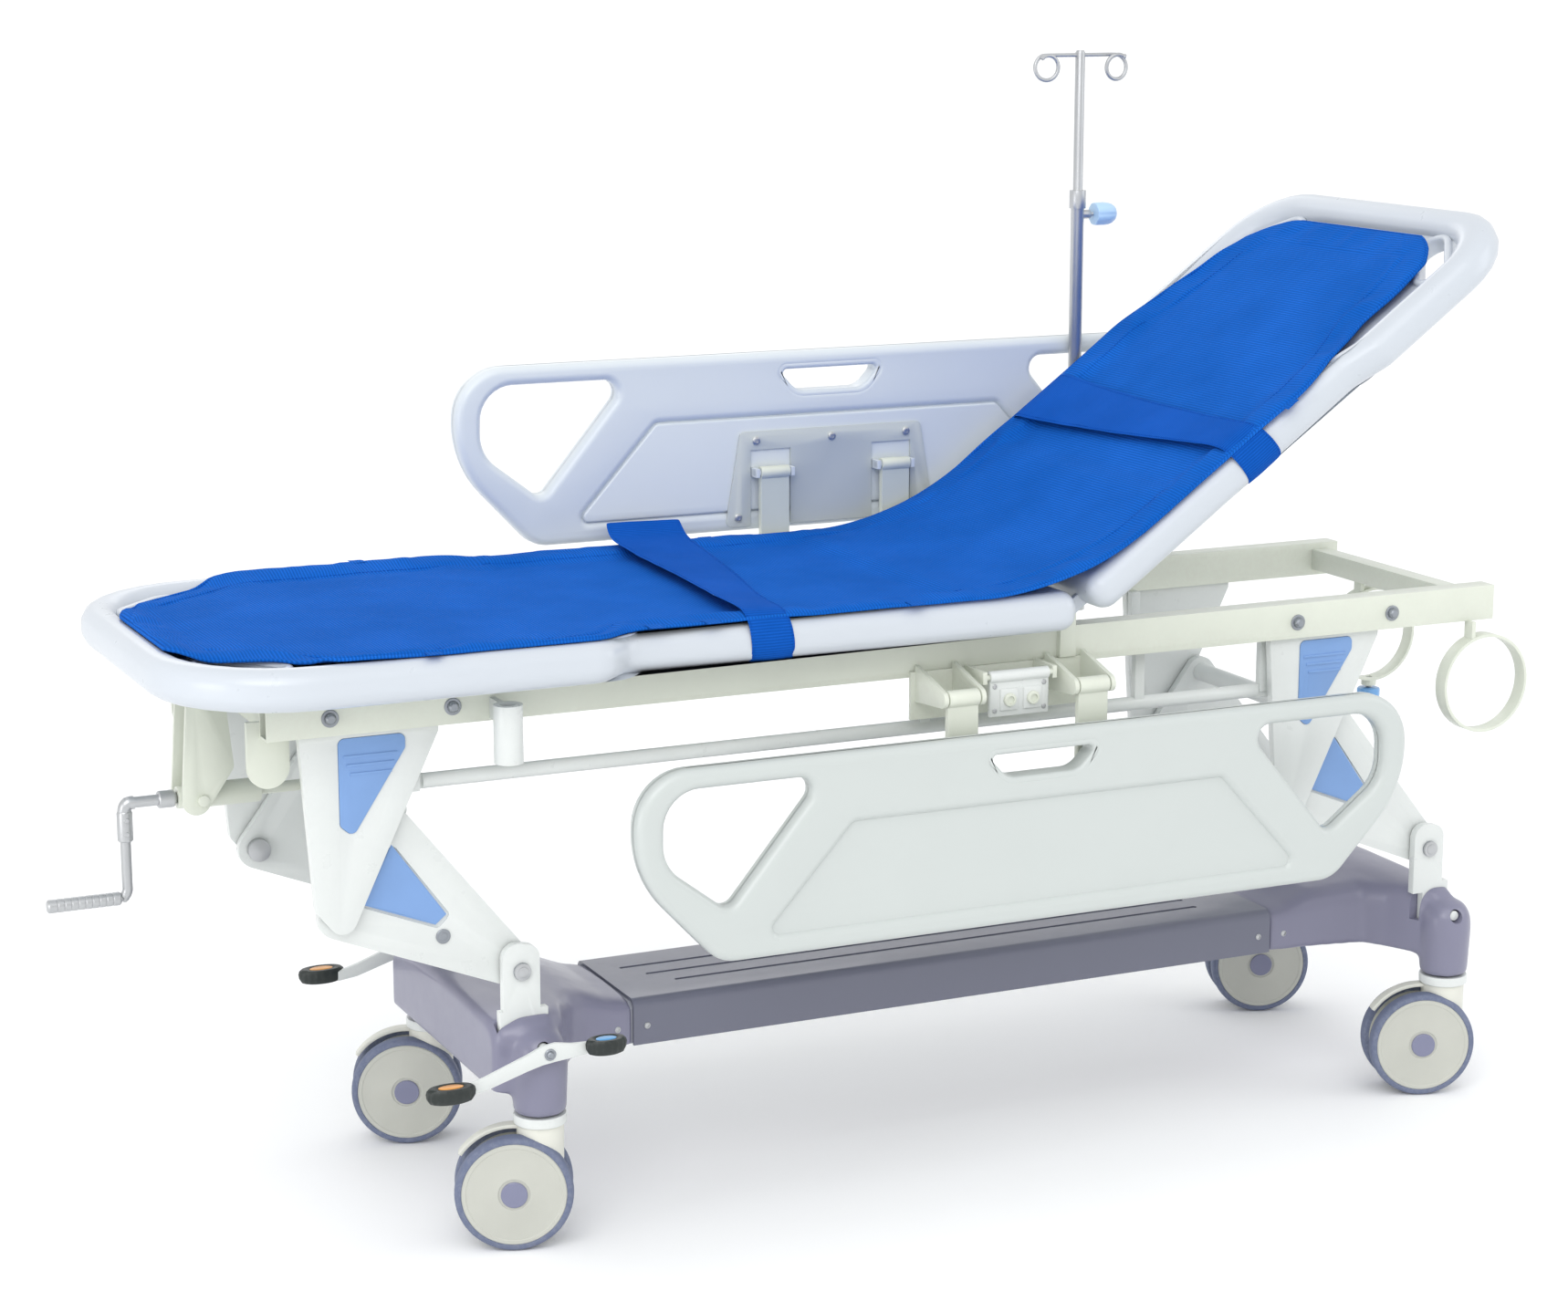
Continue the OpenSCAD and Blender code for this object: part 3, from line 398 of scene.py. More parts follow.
def refined(node, width=0.0016, segments=2, angle=30):
    """Copy of a CAD node with clean faces and rounded edges."""
    mesh = cad[node].data.copy()
    bm = bmesh.new()
    bm.from_mesh(mesh)
    bmesh.ops.remove_doubles(bm, verts=bm.verts, dist=2e-6)
    bmesh.ops.dissolve_limit(bm, angle_limit=math.radians(0.6), verts=bm.verts, edges=bm.edges)
    bm.to_mesh(mesh)
    bm.free()
    obj = as_object(node + "_finished", mesh)
    bevel = obj.modifiers.new("edges", "BEVEL")
    bevel.width = width
    bevel.segments = segments
    bevel.limit_method = "ANGLE"
    bevel.angle_limit = math.radians(angle)
    bevel.use_clamp_overlap = True
    return add(applied(obj), node)


def rounded(corners, steps=7):
    """Closed outline through corners (x, y, radius), with an arc at each."""
    points = []
    count = len(corners)
    for i, (x, y, radius) in enumerate(corners):
        here = Vector((x, y))
        back = Vector(corners[i - 1][:2]) - here
        on = Vector(corners[(i + 1) % count][:2]) - here
        reach = radius / math.tan(back.angle(on) / 2) if radius else 0
        if reach < 1e-6:
            points.append((x, y))
            continue
        reach = min(reach, back.length * 0.499, on.length * 0.499)
        start, stop = here + back.normalized() * reach, here + on.normalized() * reach
        for k in range(steps + 1):
            t = k / steps
            # A conic through the two tangent points, close to a circle's arc
            w = math.sin(back.angle(on) / 2)
            a, b, c = (1 - t) ** 2, 2 * w * t * (1 - t), t * t
            points.append(tuple((start * a + here * b + stop * c) / (a + b + c)))
    return points


def mirrored(corners):
    """Adds the far half of a symmetrical outline given from foot to head on the far side."""
    return list(corners) + [(x, -y, r) for x, y, r in reversed(corners)]


def clockwise(points, wanted):
    area = sum(a[0] * b[1] - b[0] * a[1] for a, b in zip(points, points[1:] + points[:1]))
    return points if (area < 0) == wanted else points[::-1]


def plate(name, outline, holes, low, high, bevel, place=Matrix(), rings=5):
    """Flat plate with rounded edges, from an outline and its holes, between two heights."""
    curve = bpy.data.curves.new(name, "CURVE")
    curve.dimensions = "2D"
    curve.fill_mode = "BOTH"
    for loop, turn in [(outline, False)] + [(hole, True) for hole in holes]:
        loop = clockwise(list(loop), turn)
        spline = curve.splines.new("POLY")
        spline.points.add(len(loop) - 1)
        for point, (x, y) in zip(spline.points, loop):
            point.co = (x, y, 0, 1)
        spline.use_cyclic_u = True
    curve.extrude = (high - low) / 2 - bevel
    curve.bevel_depth = bevel
    curve.bevel_resolution = rings
    curve.offset = -bevel
    source = bpy.data.objects.new(name, curve)
    bpy.context.scene.collection.objects.link(source)
    bpy.context.view_layer.update()
    graph = bpy.context.evaluated_depsgraph_get()
    mesh = bpy.data.meshes.new_from_object(source.evaluated_get(graph))
    bpy.data.objects.remove(source)
    mesh.transform(place @ Matrix.Translation((0, 0, (low + high) / 2)))
    bm = bmesh.new()
    bm.from_mesh(mesh)
    bmesh.ops.remove_doubles(bm, verts=bm.verts, dist=2e-6)
    bmesh.ops.recalc_face_normals(bm, faces=bm.faces)
    bm.to_mesh(mesh)
    bm.free()
    return as_object(name, mesh)


def loft(name, rings, closed=False):
    """Skin over rings of points; the ends are capped, or joined to each other when closed."""
    bm = bmesh.new()
    rows = [[bm.verts.new(p) for p in ring] for ring in rings]
    pairs = list(zip(rows, rows[1:] + rows[:1])) if closed else list(zip(rows, rows[1:]))
    for first, second in pairs:
        for i in range(len(first)):
            k = (i + 1) % len(first)
            bm.faces.new((first[i], first[k], second[k], second[i]))
    if not closed:
        bm.faces.new(rows[0][::-1])
        bm.faces.new(rows[-1])
    bmesh.ops.recalc_face_normals(bm, faces=bm.faces)
    mesh = bpy.data.meshes.new(name)
    bm.to_mesh(mesh)
    bm.free()
    return as_object(name, mesh)


def lathe(name, profile, origin, axis, steps=48):
    """Turned piece: profile is (radius, height along the axis), from end to end."""
    turn = Vector((0, 0, 1)).rotation_difference(Vector(axis)).to_matrix().to_4x4()
    place = Matrix.Translation(origin) @ turn
    rings = []
    for radius, height in profile:
        radius = max(radius, 1e-4)
        rings.append([
            place @ Vector((radius * math.cos(2 * math.pi * k / steps),
            radius * math.sin(2 * math.pi * k / steps), height))
            for k in range(steps)
        ])
    return loft(name, rings)


def tube(name, points, radius, sides=14, closed=False):
    """Round bar along a path of points."""
    points = [Vector(p) for p in points]
    rings = []
    normal = None
    count = len(points)
    for i, point in enumerate(points):
        ahead = points[(i + 1) % count] if closed or i < count - 1 else point
        behind = points[i - 1] if closed or i else point
        along = (ahead - behind).normalized()
        if normal is None:
            normal = along.orthogonal().normalized()
        normal = (normal - along * normal.dot(along)).normalized()
        across = along.cross(normal)
        thick = radius[i] if isinstance(radius, (list, tuple)) else radius
        rings.append([
            point + (normal * math.cos(2 * math.pi * k / sides) + across * math.sin(2 * math.pi * k / sides)) * thick
            for k in range(sides)
        ])
    return loft(name, rings, closed)


def smooth_path(points, steps=8):
    """Catmull-Rom curve through points."""
    points = [Vector(p) for p in points]
    padded = [points[0] * 2 - points[1]] + points + [points[-1] * 2 - points[-2]]
    path = []
    for a, b, c, d in zip(padded, padded[1:], padded[2:], padded[3:]):
        for k in range(steps):
            t = k / steps
            path.append(0.5 * (2 * b + (c - a) * t + (2 * a - 5 * b + 4 * c - d) * t ** 2
                               + (3 * b - a - 3 * c + d) * t ** 3))
    return path + [points[-1]]


def fused(name, objs, voxel, rounds):
    """Melts overlapping solids into one moulded skin."""
    obj = joined(name, objs)
    remesh = obj.modifiers.new("melt", "REMESH")
    remesh.mode = "VOXEL"
    remesh.voxel_size = voxel
    soften = obj.modifiers.new("soften", "SMOOTH")
    soften.factor = 0.5
    soften.iterations = rounds
    return applied(obj)


def cut(obj, tools):
    """Cuts tools out of an object."""
    for tool in tools:
        modifier = obj.modifiers.new("cut", "BOOLEAN")
        modifier.operation = "DIFFERENCE"
        modifier.solver = "EXACT"
        modifier.object = tool
    applied(obj)
    for tool in tools:
        bpy.data.objects.remove(tool)
    return obj


def screw_head(place, axis, radius=0.0055, height=0.0022):
    """Domed head with a socket."""
    profile = [(0, 0), (radius, 0), (radius, height * 0.35), (radius * 0.85, height * 0.8),
        (radius * 0.5, height),
               (radius * 0.48, height * 0.45), (0, height * 0.45)]
    return lathe("screw", profile, place, axis, 20)


# ---------------------------------------------------------------- deck

# Half outline of the foot section, measured from the hinge, and of the backrest along its own plane
FOOT_END = FOOT_LO.x - HINGE.x
FOOT_CORNERS = mirrored([
    (FOOT_END, DECK_HALF, 0.170), (-0.681, DECK_HALF, 0.045), (-0.637, NECK_HALF, 0.045),
    (-0.011, NECK_HALF, 0.024),
])
BACK_CORNERS = mirrored([
    (0.020, NECK_HALF, 0.024), (0.486, NECK_HALF, 0.05), (0.538, BACK_HALF, 0.05), (0.810, BACK_HALF, 0.11),
])


def deck_foot():
    at = Matrix.Translation((HINGE.x, 0, DECK_TOP))
    inner = mirrored([(FOOT_END + 0.045, DECK_HALF - 0.045, 0.130), (-0.66, DECK_HALF - 0.045, 0.03),
                      (-0.618, NECK_HALF - 0.05, 0.03), (-0.062, NECK_HALF - 0.05, 0.02)])
    floor = mirrored([(FOOT_END + 0.026, DECK_HALF - 0.026, 0.148), (-0.67, DECK_HALF - 0.026, 0.04),
                      (-0.63, NECK_HALF - 0.026, 0.04), (-0.036, NECK_HALF - 0.026, 0.02)])
    step = mirrored([(FOOT_END + 0.068, DECK_HALF - 0.068, 0.105), (-0.69, DECK_HALF - 0.068, 0.03),
                     (-0.64, NECK_HALF - 0.07, 0.03), (-0.09, NECK_HALF - 0.07, 0.02)])
    grips = [[(-1.128, side * 0.176), (-1.078, side * 0.226)] for side in (-1, 1)]
    rim = plate("rim", rounded(FOOT_CORNERS), [rounded(inner)], -RIM_DEEP, 0, 0.0218, at, 8)
    tray = plate("tray", rounded(floor), [], -0.034, -0.019, 0.003, at, 2)
    raised = plate("raised", rounded(step), [capsule(grip, 0.020) for grip in grips], -0.024, -0.0135, 0.0045,
        at, 3)
    feet = [plate("lip", capsule(grip, 0.031), [capsule(grip, 0.0185)], -0.0210, -0.0085, 0.0055, at,
        4) for grip in grips]
    for x in (-1.015, -0.375):
        for side in (-1, 1):
            pad = rounded([(x, side * 0.192 - 0.012, 0.003), (x + 0.06, side * 0.192 - 0.012, 0.003),
                           (x + 0.06, side * 0.192 + 0.012, 0.003), (x, side * 0.192 + 0.012, 0.003)])
            feet.append(plate("foot", pad, [], -0.0577, -0.03, 0.001, at, 1))
    add(joined("deck_foot_moulding", [rim, tray, raised] + feet), "deck_foot", angle=38)


def capsule(ends, radius, steps=10):
    """Outline around the line between two points."""
    (ax, ay), (bx, by) = ends
    heading = math.atan2(by - ay, bx - ax)
    points = []
    for (x, y), start in (((bx, by), heading - math.pi / 2), ((ax, ay), heading + math.pi / 2)):
        for k in range(steps + 1):
            turn = start + math.pi * k / steps
            points.append((x + radius * math.cos(turn), y + radius * math.sin(turn)))
    return points


def deck_backrest():
    inner = mirrored([(0.070, NECK_HALF - 0.05, 0.02), (0.47, NECK_HALF - 0.05, 0.04),
                      (0.515, BACK_HALF - 0.05, 0.04), (0.760, BACK_HALF - 0.05, 0.07)])
    floor = mirrored([(0.045, NECK_HALF - 0.026, 0.02), (0.478, NECK_HALF - 0.026, 0.04),
                      (0.525, BACK_HALF - 0.026, 0.04), (0.785, BACK_HALF - 0.026, 0.09)])
    panel = mirrored([(0.090, NECK_HALF - 0.072, 0.02), (0.46, NECK_HALF - 0.072, 0.04),
                      (0.62, 0.165, 0.05), (0.735, 0.110, 0.06)])
    holes = [capsule([(0.735, side * 0.176), (0.690, side * 0.228)], 0.019) for side in (-1, 1)]
    bottom, top = RIM_LIFT - RIM_DEEP, RIM_LIFT
    rim = plate("rim", rounded(BACK_CORNERS), [rounded(inner)], bottom, top, 0.0235, BACK, 8)
    tray = plate("tray", rounded(floor), holes, -0.003, 0.013, 0.004, BACK, 3)
    raised = plate("raised", rounded(panel), [], 0.008, 0.0215, 0.006, BACK, 3)
    lips = [
        plate("lip", capsule([(0.735, side * 0.176), (0.690, side * 0.228)], 0.029),
              [capsule([(0.735, side * 0.176), (0.690, side * 0.228)], 0.018)], -0.006, 0.019, 0.005, BACK, 4)
        for side in (-1, 1)
    ]
    arms = []
    for side in (-1, 1):
        arm = rounded([(-0.008, -0.0095, 0.008), (-0.008, 0.0095, 0.008), (0.086, 0.0095, 0.006),
            (0.086, -0.0095, 0.006)])
        turn = BACK @ Matrix.Translation((0, side * 0.2225, 0)) @ Matrix.Rotation(math.pi / 2, 4, "X")
        arms.append(plate("arm", arm, [circle_outline(0, 0, 0.0052)], -0.004, 0.004, 0.001, turn, 2))
        eye = rounded([(0.432, 0.002, 0.004), (0.468, 0.002, 0.004), (0.460, -0.028, 0.008),
            (0.441, -0.028, 0.008)])
        turn = BACK @ Matrix.Translation((0, side * 0.012, 0)) @ Matrix.Rotation(math.pi / 2, 4, "X")
        arms.append(plate("eye", eye, [], -0.003, 0.003, 0.0008, turn, 2))
    add(joined("deck_backrest_moulding", [rim, tray, raised] + lips + arms), "deck_backrest", angle=38)
    # Screws that hold the raised panel
    heads = [screw_head(BACK @ Vector((s, side * y, 0.0212)), BACK.to_3x3() @ Vector((0, 0, 1)))
             for s, y in ((0.13, 0.185), (0.40, 0.185), (0.66, 0.125)) for side in (-1, 1)]
    detail(joined("backrest_screws", heads), "deck_backrest", MATERIALS["chrome"])


def circle_outline(x, y, radius, steps=24):
    return [(x + radius * math.cos(2 * math.pi * k / steps), y + radius * math.sin(2 * math.pi * k / steps))
            for k in range(steps)]


# ---------------------------------------------------------------- side rails

RAIL_IN = 0.299
RAIL_THICK = 0.034
RAIL_HALF = 0.567
RAIL_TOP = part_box("rail_panel_near")[1].z
RAIL_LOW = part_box("rail_panel_near")[0].z
RAIL_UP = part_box("rail_panel_far")[1].z - RAIL_TOP


def rail_outline():
    top, low, half = RAIL_TOP, RAIL_LOW, RAIL_HALF
    shoulder = top - 0.128
    corners = [(-half + 0.117, low, 0.05), (-half + 0.001, shoulder, 0.15), (-half + 0.012, top, 0.105)]
    return rounded(corners + [(-x, z, r) for x, z, r in reversed(corners)], 10)


def rail_loop(side):
    top = RAIL_TOP
    corners = [(-0.5235, top - 0.026, 0.062), (-0.5250, top - 0.119, 0.055), (-0.4385, top - 0.185, 0.016),
               (-0.3050, top - 0.0262, 0.018)]
    return rounded([(x * -side, z, r) for x, z, r in corners], 8)


def rail_slot(grow=0.0):
    top = RAIL_TOP - 0.0245
    return rounded([(-0.081 - grow, top + grow, 0.006), (0.081 + grow, top + grow, 0.006),
                    (0.052 + grow, top - 0.032 - grow, 0.03), (-0.052 - grow, top - 0.032 - grow, 0.03)], 8)


def rail_field():
    """Sunk middle of the rail between the loops, under the hand slot."""
    high, low = RAIL_TOP - 0.091, RAIL_TOP - 0.222
    return rounded([(-0.388, low, 0.008), (0.388, low, 0.008), (0.268, high, 0.012), (-0.268, high, 0.012)])


def rail_panel(side, sign):
    """Moulded side rail: a thick rounded border around the loops and a sunk field."""
    lift = RAIL_UP if side == "far" else 0.0
    upright = Matrix(((1, 0, 0, RAIL_X), (0, 0, sign, 0), (0, 1, 0, lift), (0, 0, 0, 1)))
    middle = RAIL_IN + RAIL_THICK / 2
    holes = [rail_loop(-1), rail_loop(1), rail_slot()]
    core = plate("core", rail_outline(), holes, middle - 0.0112, middle + 0.0112, 0.0100, upright, 6)
    border = plate("border", rail_outline(), holes + [rail_field()], RAIL_IN, RAIL_IN + RAIL_THICK, 0.0112,
        upright, 7)
    lip = plate("lip", rail_slot(0.011), [rail_slot(-0.0005)], RAIL_IN + 0.0005,
        RAIL_IN + RAIL_THICK - 0.0005, 0.0052,
                upright, 5)
    back = plate("back", rail_field(), [], RAIL_IN + 0.0006, middle, 0.003, upright, 3)
    lugs = []
    for centre in (-0.095, 0.095):
        for end in (-0.027, 0.027):
            lug = rounded([(centre + end - 0.003, -0.2085, 0.001), (centre + end + 0.003, -0.2085, 0.001),
                           (centre + end + 0.003, -0.1955, 0.001), (centre + end - 0.003, -0.1955, 0.001)])
            turn = upright @ Matrix.Translation((0, RAIL_TOP + 0.035, 0))
            lugs.append(plate("lug", lug, [], RAIL_IN - 0.020, RAIL_IN + 0.002, 0.0008, turn, 1))
        z = joint["rail_level_near"]["pos_m"][2] + lift
        y = abs(joint["rail_level_near"]["pos_m"][1]) * sign
        x = RAIL_X + centre
        lugs.append(tube("axle", [(x - 0.030, y, z), (x + 0.030, y, z)], 0.005, 20))
    node = "rail_panel_" + side
    # The far rail takes the lighter, bluer copy of the moulding: painted light.
    add(joined(f"side_rail_moulding_{side}", [core, border, lip, back] + lugs), node, angle=38,
        material=MATERIALS["far_rail" if side == "far" else "rail_panel"])
    # Screws sunk in the outer face
    screws = []
    for x, z in ((-0.355, -0.236), (0.355, -0.236), (-0.20, -0.236), (0.20, -0.236)):
        place = upright @ Vector((x, RAIL_TOP + z, RAIL_IN + RAIL_THICK - 0.0022))
        screws.append(screw_head(place, (0, sign, 0), 0.0042, 0.0016))
    detail(joined(f"side_rail_screws_{side}", screws), node, MATERIALS["chrome"])


# ---------------------------------------------------------------- base


def cover_ring(u, half, side_z, top_z, crown, low, direction, seam):
    """Cross-section of a cover: straight sides, rounded shoulders and a crowned top."""
    half_ring = [(half, low), (half, low + (side_z - low) * 0.5), (half, side_z)]
    for k in range(1, 5):
        turn = math.pi / 2 * k / 5
        reach = min(0.030, half * 0.3)
        half_ring.append((half - reach * (1 - math.cos(turn)),
            side_z + (top_z - crown - side_z) * math.sin(turn)))
    half_ring.append((half - min(0.030, half * 0.3), top_z - crown))
    half_ring.append(((half - 0.030) * 0.5, top_z - crown * 0.25))
    ring = half_ring + [(0, top_z)] + [(-y, z) for y, z in reversed(half_ring)]
    return [(seam + direction * u, y, z) for y, z in ring]


def end_cover(name, node, direction, column_u, end_u, ear_x, shaft_x):
    low_box, high_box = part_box(node)
    seam = high_box.x if direction < 0 else low_box.x
    low = 0.200
    top = high_box.z
    caster_y = abs(joint["swivel_foot_near"]["pos_m"][1])
    sections = [
        (0.0, 0.100, 0.246, top - 0.040, 0.002), (0.03, 0.1015, 0.249, top - 0.034, 0.002),
        (0.070, 0.106, 0.254, top - 0.016, 0.004), (column_u - 0.078, 0.120, 0.258, top - 0.006, 0.006),
        (column_u - 0.058, 0.152, 0.262, top - 0.003, 0.008), (column_u - 0.038, 0.196, 0.270, top, 0.006),
        (column_u - 0.015, 0.216, 0.276, top, 0.004),
        (column_u + min(0.020, (end_u - column_u) * 0.4), 0.217, 0.274, top - 0.001, 0.004),
        (end_u - 0.008, 0.206, 0.266, top - 0.006, 0.006), (end_u, 0.198, 0.258, top - 0.012, 0.008),
    ]
    rings = [cover_ring(*section[:5], low, direction, seam) for section in sections]
    body = loft("cover", rings)
    column_x = seam + direction * column_u
    parts = [body]
    for side in (-1, 1):
        column = [(0.0335, 0.173), (0.0345, 0.20), (0.0362, 0.235), (0.0362, 0.248), (0.034, 0.262),
            (0.026, 0.275),
                  (0.012, 0.282), (0, 0.284)]
        column = [(0, 0.173)] + column
        parts.append(lathe("column", column, (column_x, side * caster_y, 0), (0, 0, 1)))
    cover = fused("cover", parts, 0.0042, 11)
    tools = []
    for side in (-1, 1):
        bpy.ops.mesh.primitive_cube_add(size=1, location=(ear_x, side * 0.191, 0.300))
        box = bpy.context.object
        box.scale = (0.069, 0.0137, 0.10)
        tools.append(box)
    tools.append(tube("bore", [(shaft_x, -0.27, 0.263), (shaft_x, 0.27, 0.263)], 0.0095, 24))
    cut(cover, tools)
    add(cover, node, name, angle=36)
    screws = [screw_head((seam + direction * 0.022, side * 0.1003, 0.225), (0, side, 0), 0.0045, 0.002)
              for side in (-1, 1)]
    screws += [screw_head((seam - direction * 0.020, side * 0.0998, 0.225), (0, side, 0), 0.0045, 0.002)
               for side in (-1, 1)]
    detail(joined(name + "_screws", screws), node, MATERIALS["chrome"])


def base_cover_middle():
    low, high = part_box("base_cover_middle")
    half = high.y
    ring = [(-half, low.z)]
    radius = 0.012
    for k in range(6):
        turn = math.pi / 2 * k / 5
        ring.append((-half + radius - radius * math.cos(turn), high.z - radius + radius * math.sin(turn)))
    ring = ring + [(-y, z) for y, z in reversed(ring)]
    shell = loft("beam", [[(x, y, z) for y, z in ring] for x in (low.x, high.x)])
    hollow = loft("hollow", [[(x, y, z) for y, z in (
        (-half + 0.004, low.z - 0.01), (-half + 0.004, high.z - 0.009), (-half + 0.012, high.z - 0.004),
        (half - 0.012, high.z - 0.004), (half - 0.004, high.z - 0.009), (half - 0.004, low.z - 0.01))]
        for x in (low.x - 0.01, high.x + 0.01)])
    grooves = []
    for y, start in ((-0.040, 0.088), (-0.002, 0.062), (0.036, 0.040)):
        groove = capsule([(low.x + start, y), (high.x - 0.09, y)], 0.0042, 8)
        grooves.append(plate("groove", groove, [], high.z - 0.0028, high.z + 0.004, 0.0006, Matrix(), 1))
    obj = cut(shell, [hollow] + grooves)
    # The beam cover takes the darker copy of the moulding: painted shade.
    add(obj, "base_cover_middle", "base_cover_middle_moulding", material=MATERIALS["beam_cover"])
    # Dark liners behind the seams with the end covers: painted shade, so the gaps show dark instead of the floor
    # through the open ends
    for x, way in ((low.x, 1), (high.x, -1)):
        ring = [(-half + 0.0045, low.z + 0.002), (-half + 0.0045, high.z - 0.012),
            (-half + 0.012, high.z - 0.0045)]
        ring = ring + [(-y, z) for y, z in reversed(ring)]
        shade_liner = loft("seam_bulkhead",
            [[(at, y, z) for y, z in ring] for at in (x - way * 0.004, x + way * 0.010)])
        detail(shade_liner, "base_cover_middle", MATERIALS["chassis"])
    strips = []
    for y, start in ((-0.040, 0.088), (-0.002, 0.062), (0.036, 0.040)):
        strip = capsule([(low.x + start + 0.001, y), (high.x - 0.091, y)], 0.0034, 8)
        strips.append(plate("strip", strip, [], high.z - 0.0030, high.z - 0.0016, 0.0004, Matrix(), 1))
    detail(joined("beam_groove_strips", strips), "base_cover_middle", MATERIALS["chassis"])


# ---------------------------------------------------------------- casters


def caster(corner):
    swivel = joint["swivel_" + corner]
    spin = joint["spin_" + corner]
    stem = Vector(swivel["pos_m"])
    axle = Vector(spin["pos_m"])
    along = Vector(spin["axis"]).normalized()
    back = (Vector((axle.x, axle.y, 0)) - Vector((stem.x, stem.y, 0))).normalized()
    tall = 0.075
    fork = "caster_fork_" + corner
    column = [(0, 0.106), (0.0285, 0.106), (0.0295, 0.112), (0.0300, 0.150), (0.0300, 0.1585),
        (0.0292, 0.160), (0, 0.160)]
    collar = [(0, 0.1595), (0.0325, 0.1595), (0.0335, 0.1605), (0.0338, 0.1700), (0.0328, 0.1720),
        (0, 0.1720)]
    stem_rod = [(0, 0.171), (0.0118, 0.171), (0.0118, 0.234), (0.0105, 0.2358), (0, 0.2358)]
    base = Vector((stem.x, stem.y, 0))
    parts = [lathe("column", column, base, (0, 0, 1))]
    # Web between the wheels, with a hood over them
    web = circle_outline(0, 0, 0.058, 49)
    stand = Matrix((
        (back.x, 0, along.x, axle.x), (back.y, 0, along.y, axle.y), (0, 1, 0, axle.z), (0, 0, 0, 1)))
    parts.append(plate("web", web, [circle_outline(0, 0, 0.0063)], -0.009, 0.009, 0.002, stand, 2))
    outer, inner = tall + 0.0085, tall + 0.0035
    span = [math.radians(34 + 104 * k / 20) for k in range(21)]
    hood = [(outer * math.cos(t), outer * math.sin(t)) for t in span] + [
        (inner * math.cos(t), inner * math.sin(t)) for t in reversed(span)]
    parts.append(plate("hood", hood, [], -0.0085, 0.0085, 0.001, stand, 2))
    add(joined("caster_body_" + corner, parts), fork, angle=36)
    detail(lathe("caster_collar_" + corner, collar, base, (0, 0, 1)), fork, MATERIALS["white_metal"])
    detail(lathe("caster_stem_" + corner, stem_rod, base, (0, 0, 1)), fork, MATERIALS["chrome"])
    discs, tyres, caps = [lathe("axle", [(0, -0.0135), (0.006, -0.0135), (0.006, 0.0135), (0, 0.0135)], axle,
        along, 24)], [], []
    for side in (-1, 1):
        out = along * side
        disc = [(0, 0.0125), (0.0664, 0.0125), (0.0664, 0.0322), (0.0650, 0.0335), (0.0610, 0.0335),
            (0.0600, 0.0328),
                (0.0250, 0.0328), (0.0235, 0.0335), (0.0205, 0.0335), (0.0195, 0.0325), (0, 0.0325)]
        discs.append(lathe("disc", disc, axle, out, 72))
        tyre = [(0.0660, 0.0130), (0.0715, 0.0130), (0.0738, 0.0145), (0.0748, 0.0180), (0.0750, 0.0235),
            (0.0747, 0.0285),
                (0.0735, 0.0318), (0.0712, 0.0334), (0.0672, 0.0334), (0.0660, 0.0322)]
        turn = Vector((0, 0, 1)).rotation_difference(out).to_matrix().to_4x4()
        place = Matrix.Translation(axle) @ turn
        steps = 72
        rings = [[place @ Vector((r * math.cos(2 * math.pi * k / steps),
            r * math.sin(2 * math.pi * k / steps), h))
                  for r, h in tyre] for k in range(steps)]
        tyres.append(loft("tyre", rings, closed=True))
        cap = [(0, 0.0320), (0.0168, 0.0320), (0.0168, 0.0346), (0.0158, 0.0354), (0.0100, 0.0357),
            (0, 0.0357)]
        caps.append(lathe("cap", cap, axle, out, 40))
    add(joined("caster_discs_" + corner, discs), "caster_hubs_" + corner, angle=30)
    detail(joined("caster_caps_" + corner, caps), "caster_hubs_" + corner, MATERIALS["insert_grey"])
    add(joined("caster_treads_" + corner, tyres), "caster_tyres_" + corner, angle=40)


# ---------------------------------------------------------------- legs, frame and fittings


def bolt(place, out, radius, tall):
    """Washer and domed bolt head with a hexagon socket."""
    out = Vector(out)
    place = Vector(place)
    washer = lathe("washer",
        [(0, 0), (radius * 1.5, 0), (radius * 1.5, 0.0014), (radius * 1.38, 0.0019), (0, 0.0019)],
                   place, out, 32)
    dome = lathe("dome", [(0, 0.0015), (radius, 0.0015), (radius, tall * 0.45), (radius * 0.9, tall * 0.75),
                          (radius * 0.62, tall), (radius * 0.5, tall)], place, out, 28)
    socket = lathe("socket",
        [(0, tall * 0.98), (radius * 0.5, tall), (radius * 0.47, tall * 0.5), (0, tall * 0.5)],
                   place, out, 6)
    return [washer, dome, socket]


def frame_bolts():
    xs = [HINGE.x + dx for dx in (-0.999, -0.845, 0.367, 0.521)]
    heads = []
    for x in xs:
        for side in (-1, 1):
            heads += bolt((x, side * 0.2074, 0.703), (0, side, 0), 0.0072, 0.0078)
    add(joined("frame_bolt_heads", heads), "frame_bolts", material=MATERIALS["bolt"], angle=30)


def pivot_bolts():
    """Bolt heads on the outer faces of the pivots, ears and legs."""
    heads = []
    for name in ("lift", "head_leg_swing"):
        x, _, z = joint[name]["pos_m"]
        for side in (-1, 1):
            heads += bolt((x, side * 0.1972, z), (0, side, 0), 0.0075, 0.0052)
    detail(joined("base_pivot_bolt_heads", heads), "base_pivot_pins", MATERIALS["bolt"], 30)
    for body_node, x0 in (("foot_leg_arms", joint["lift"]["pos_m"][0]),
            ("head_leg_arms", joint["head_leg_swing"]["pos_m"][0])):
        heads = []
        for side in (-1, 1):
            heads += bolt((x0 - 0.097, side * 0.1821, 0.408), (0, side, 0), 0.0062, 0.0027)
        detail(joined(body_node + "_bolt_heads", heads), body_node, MATERIALS["bolt"], 30)


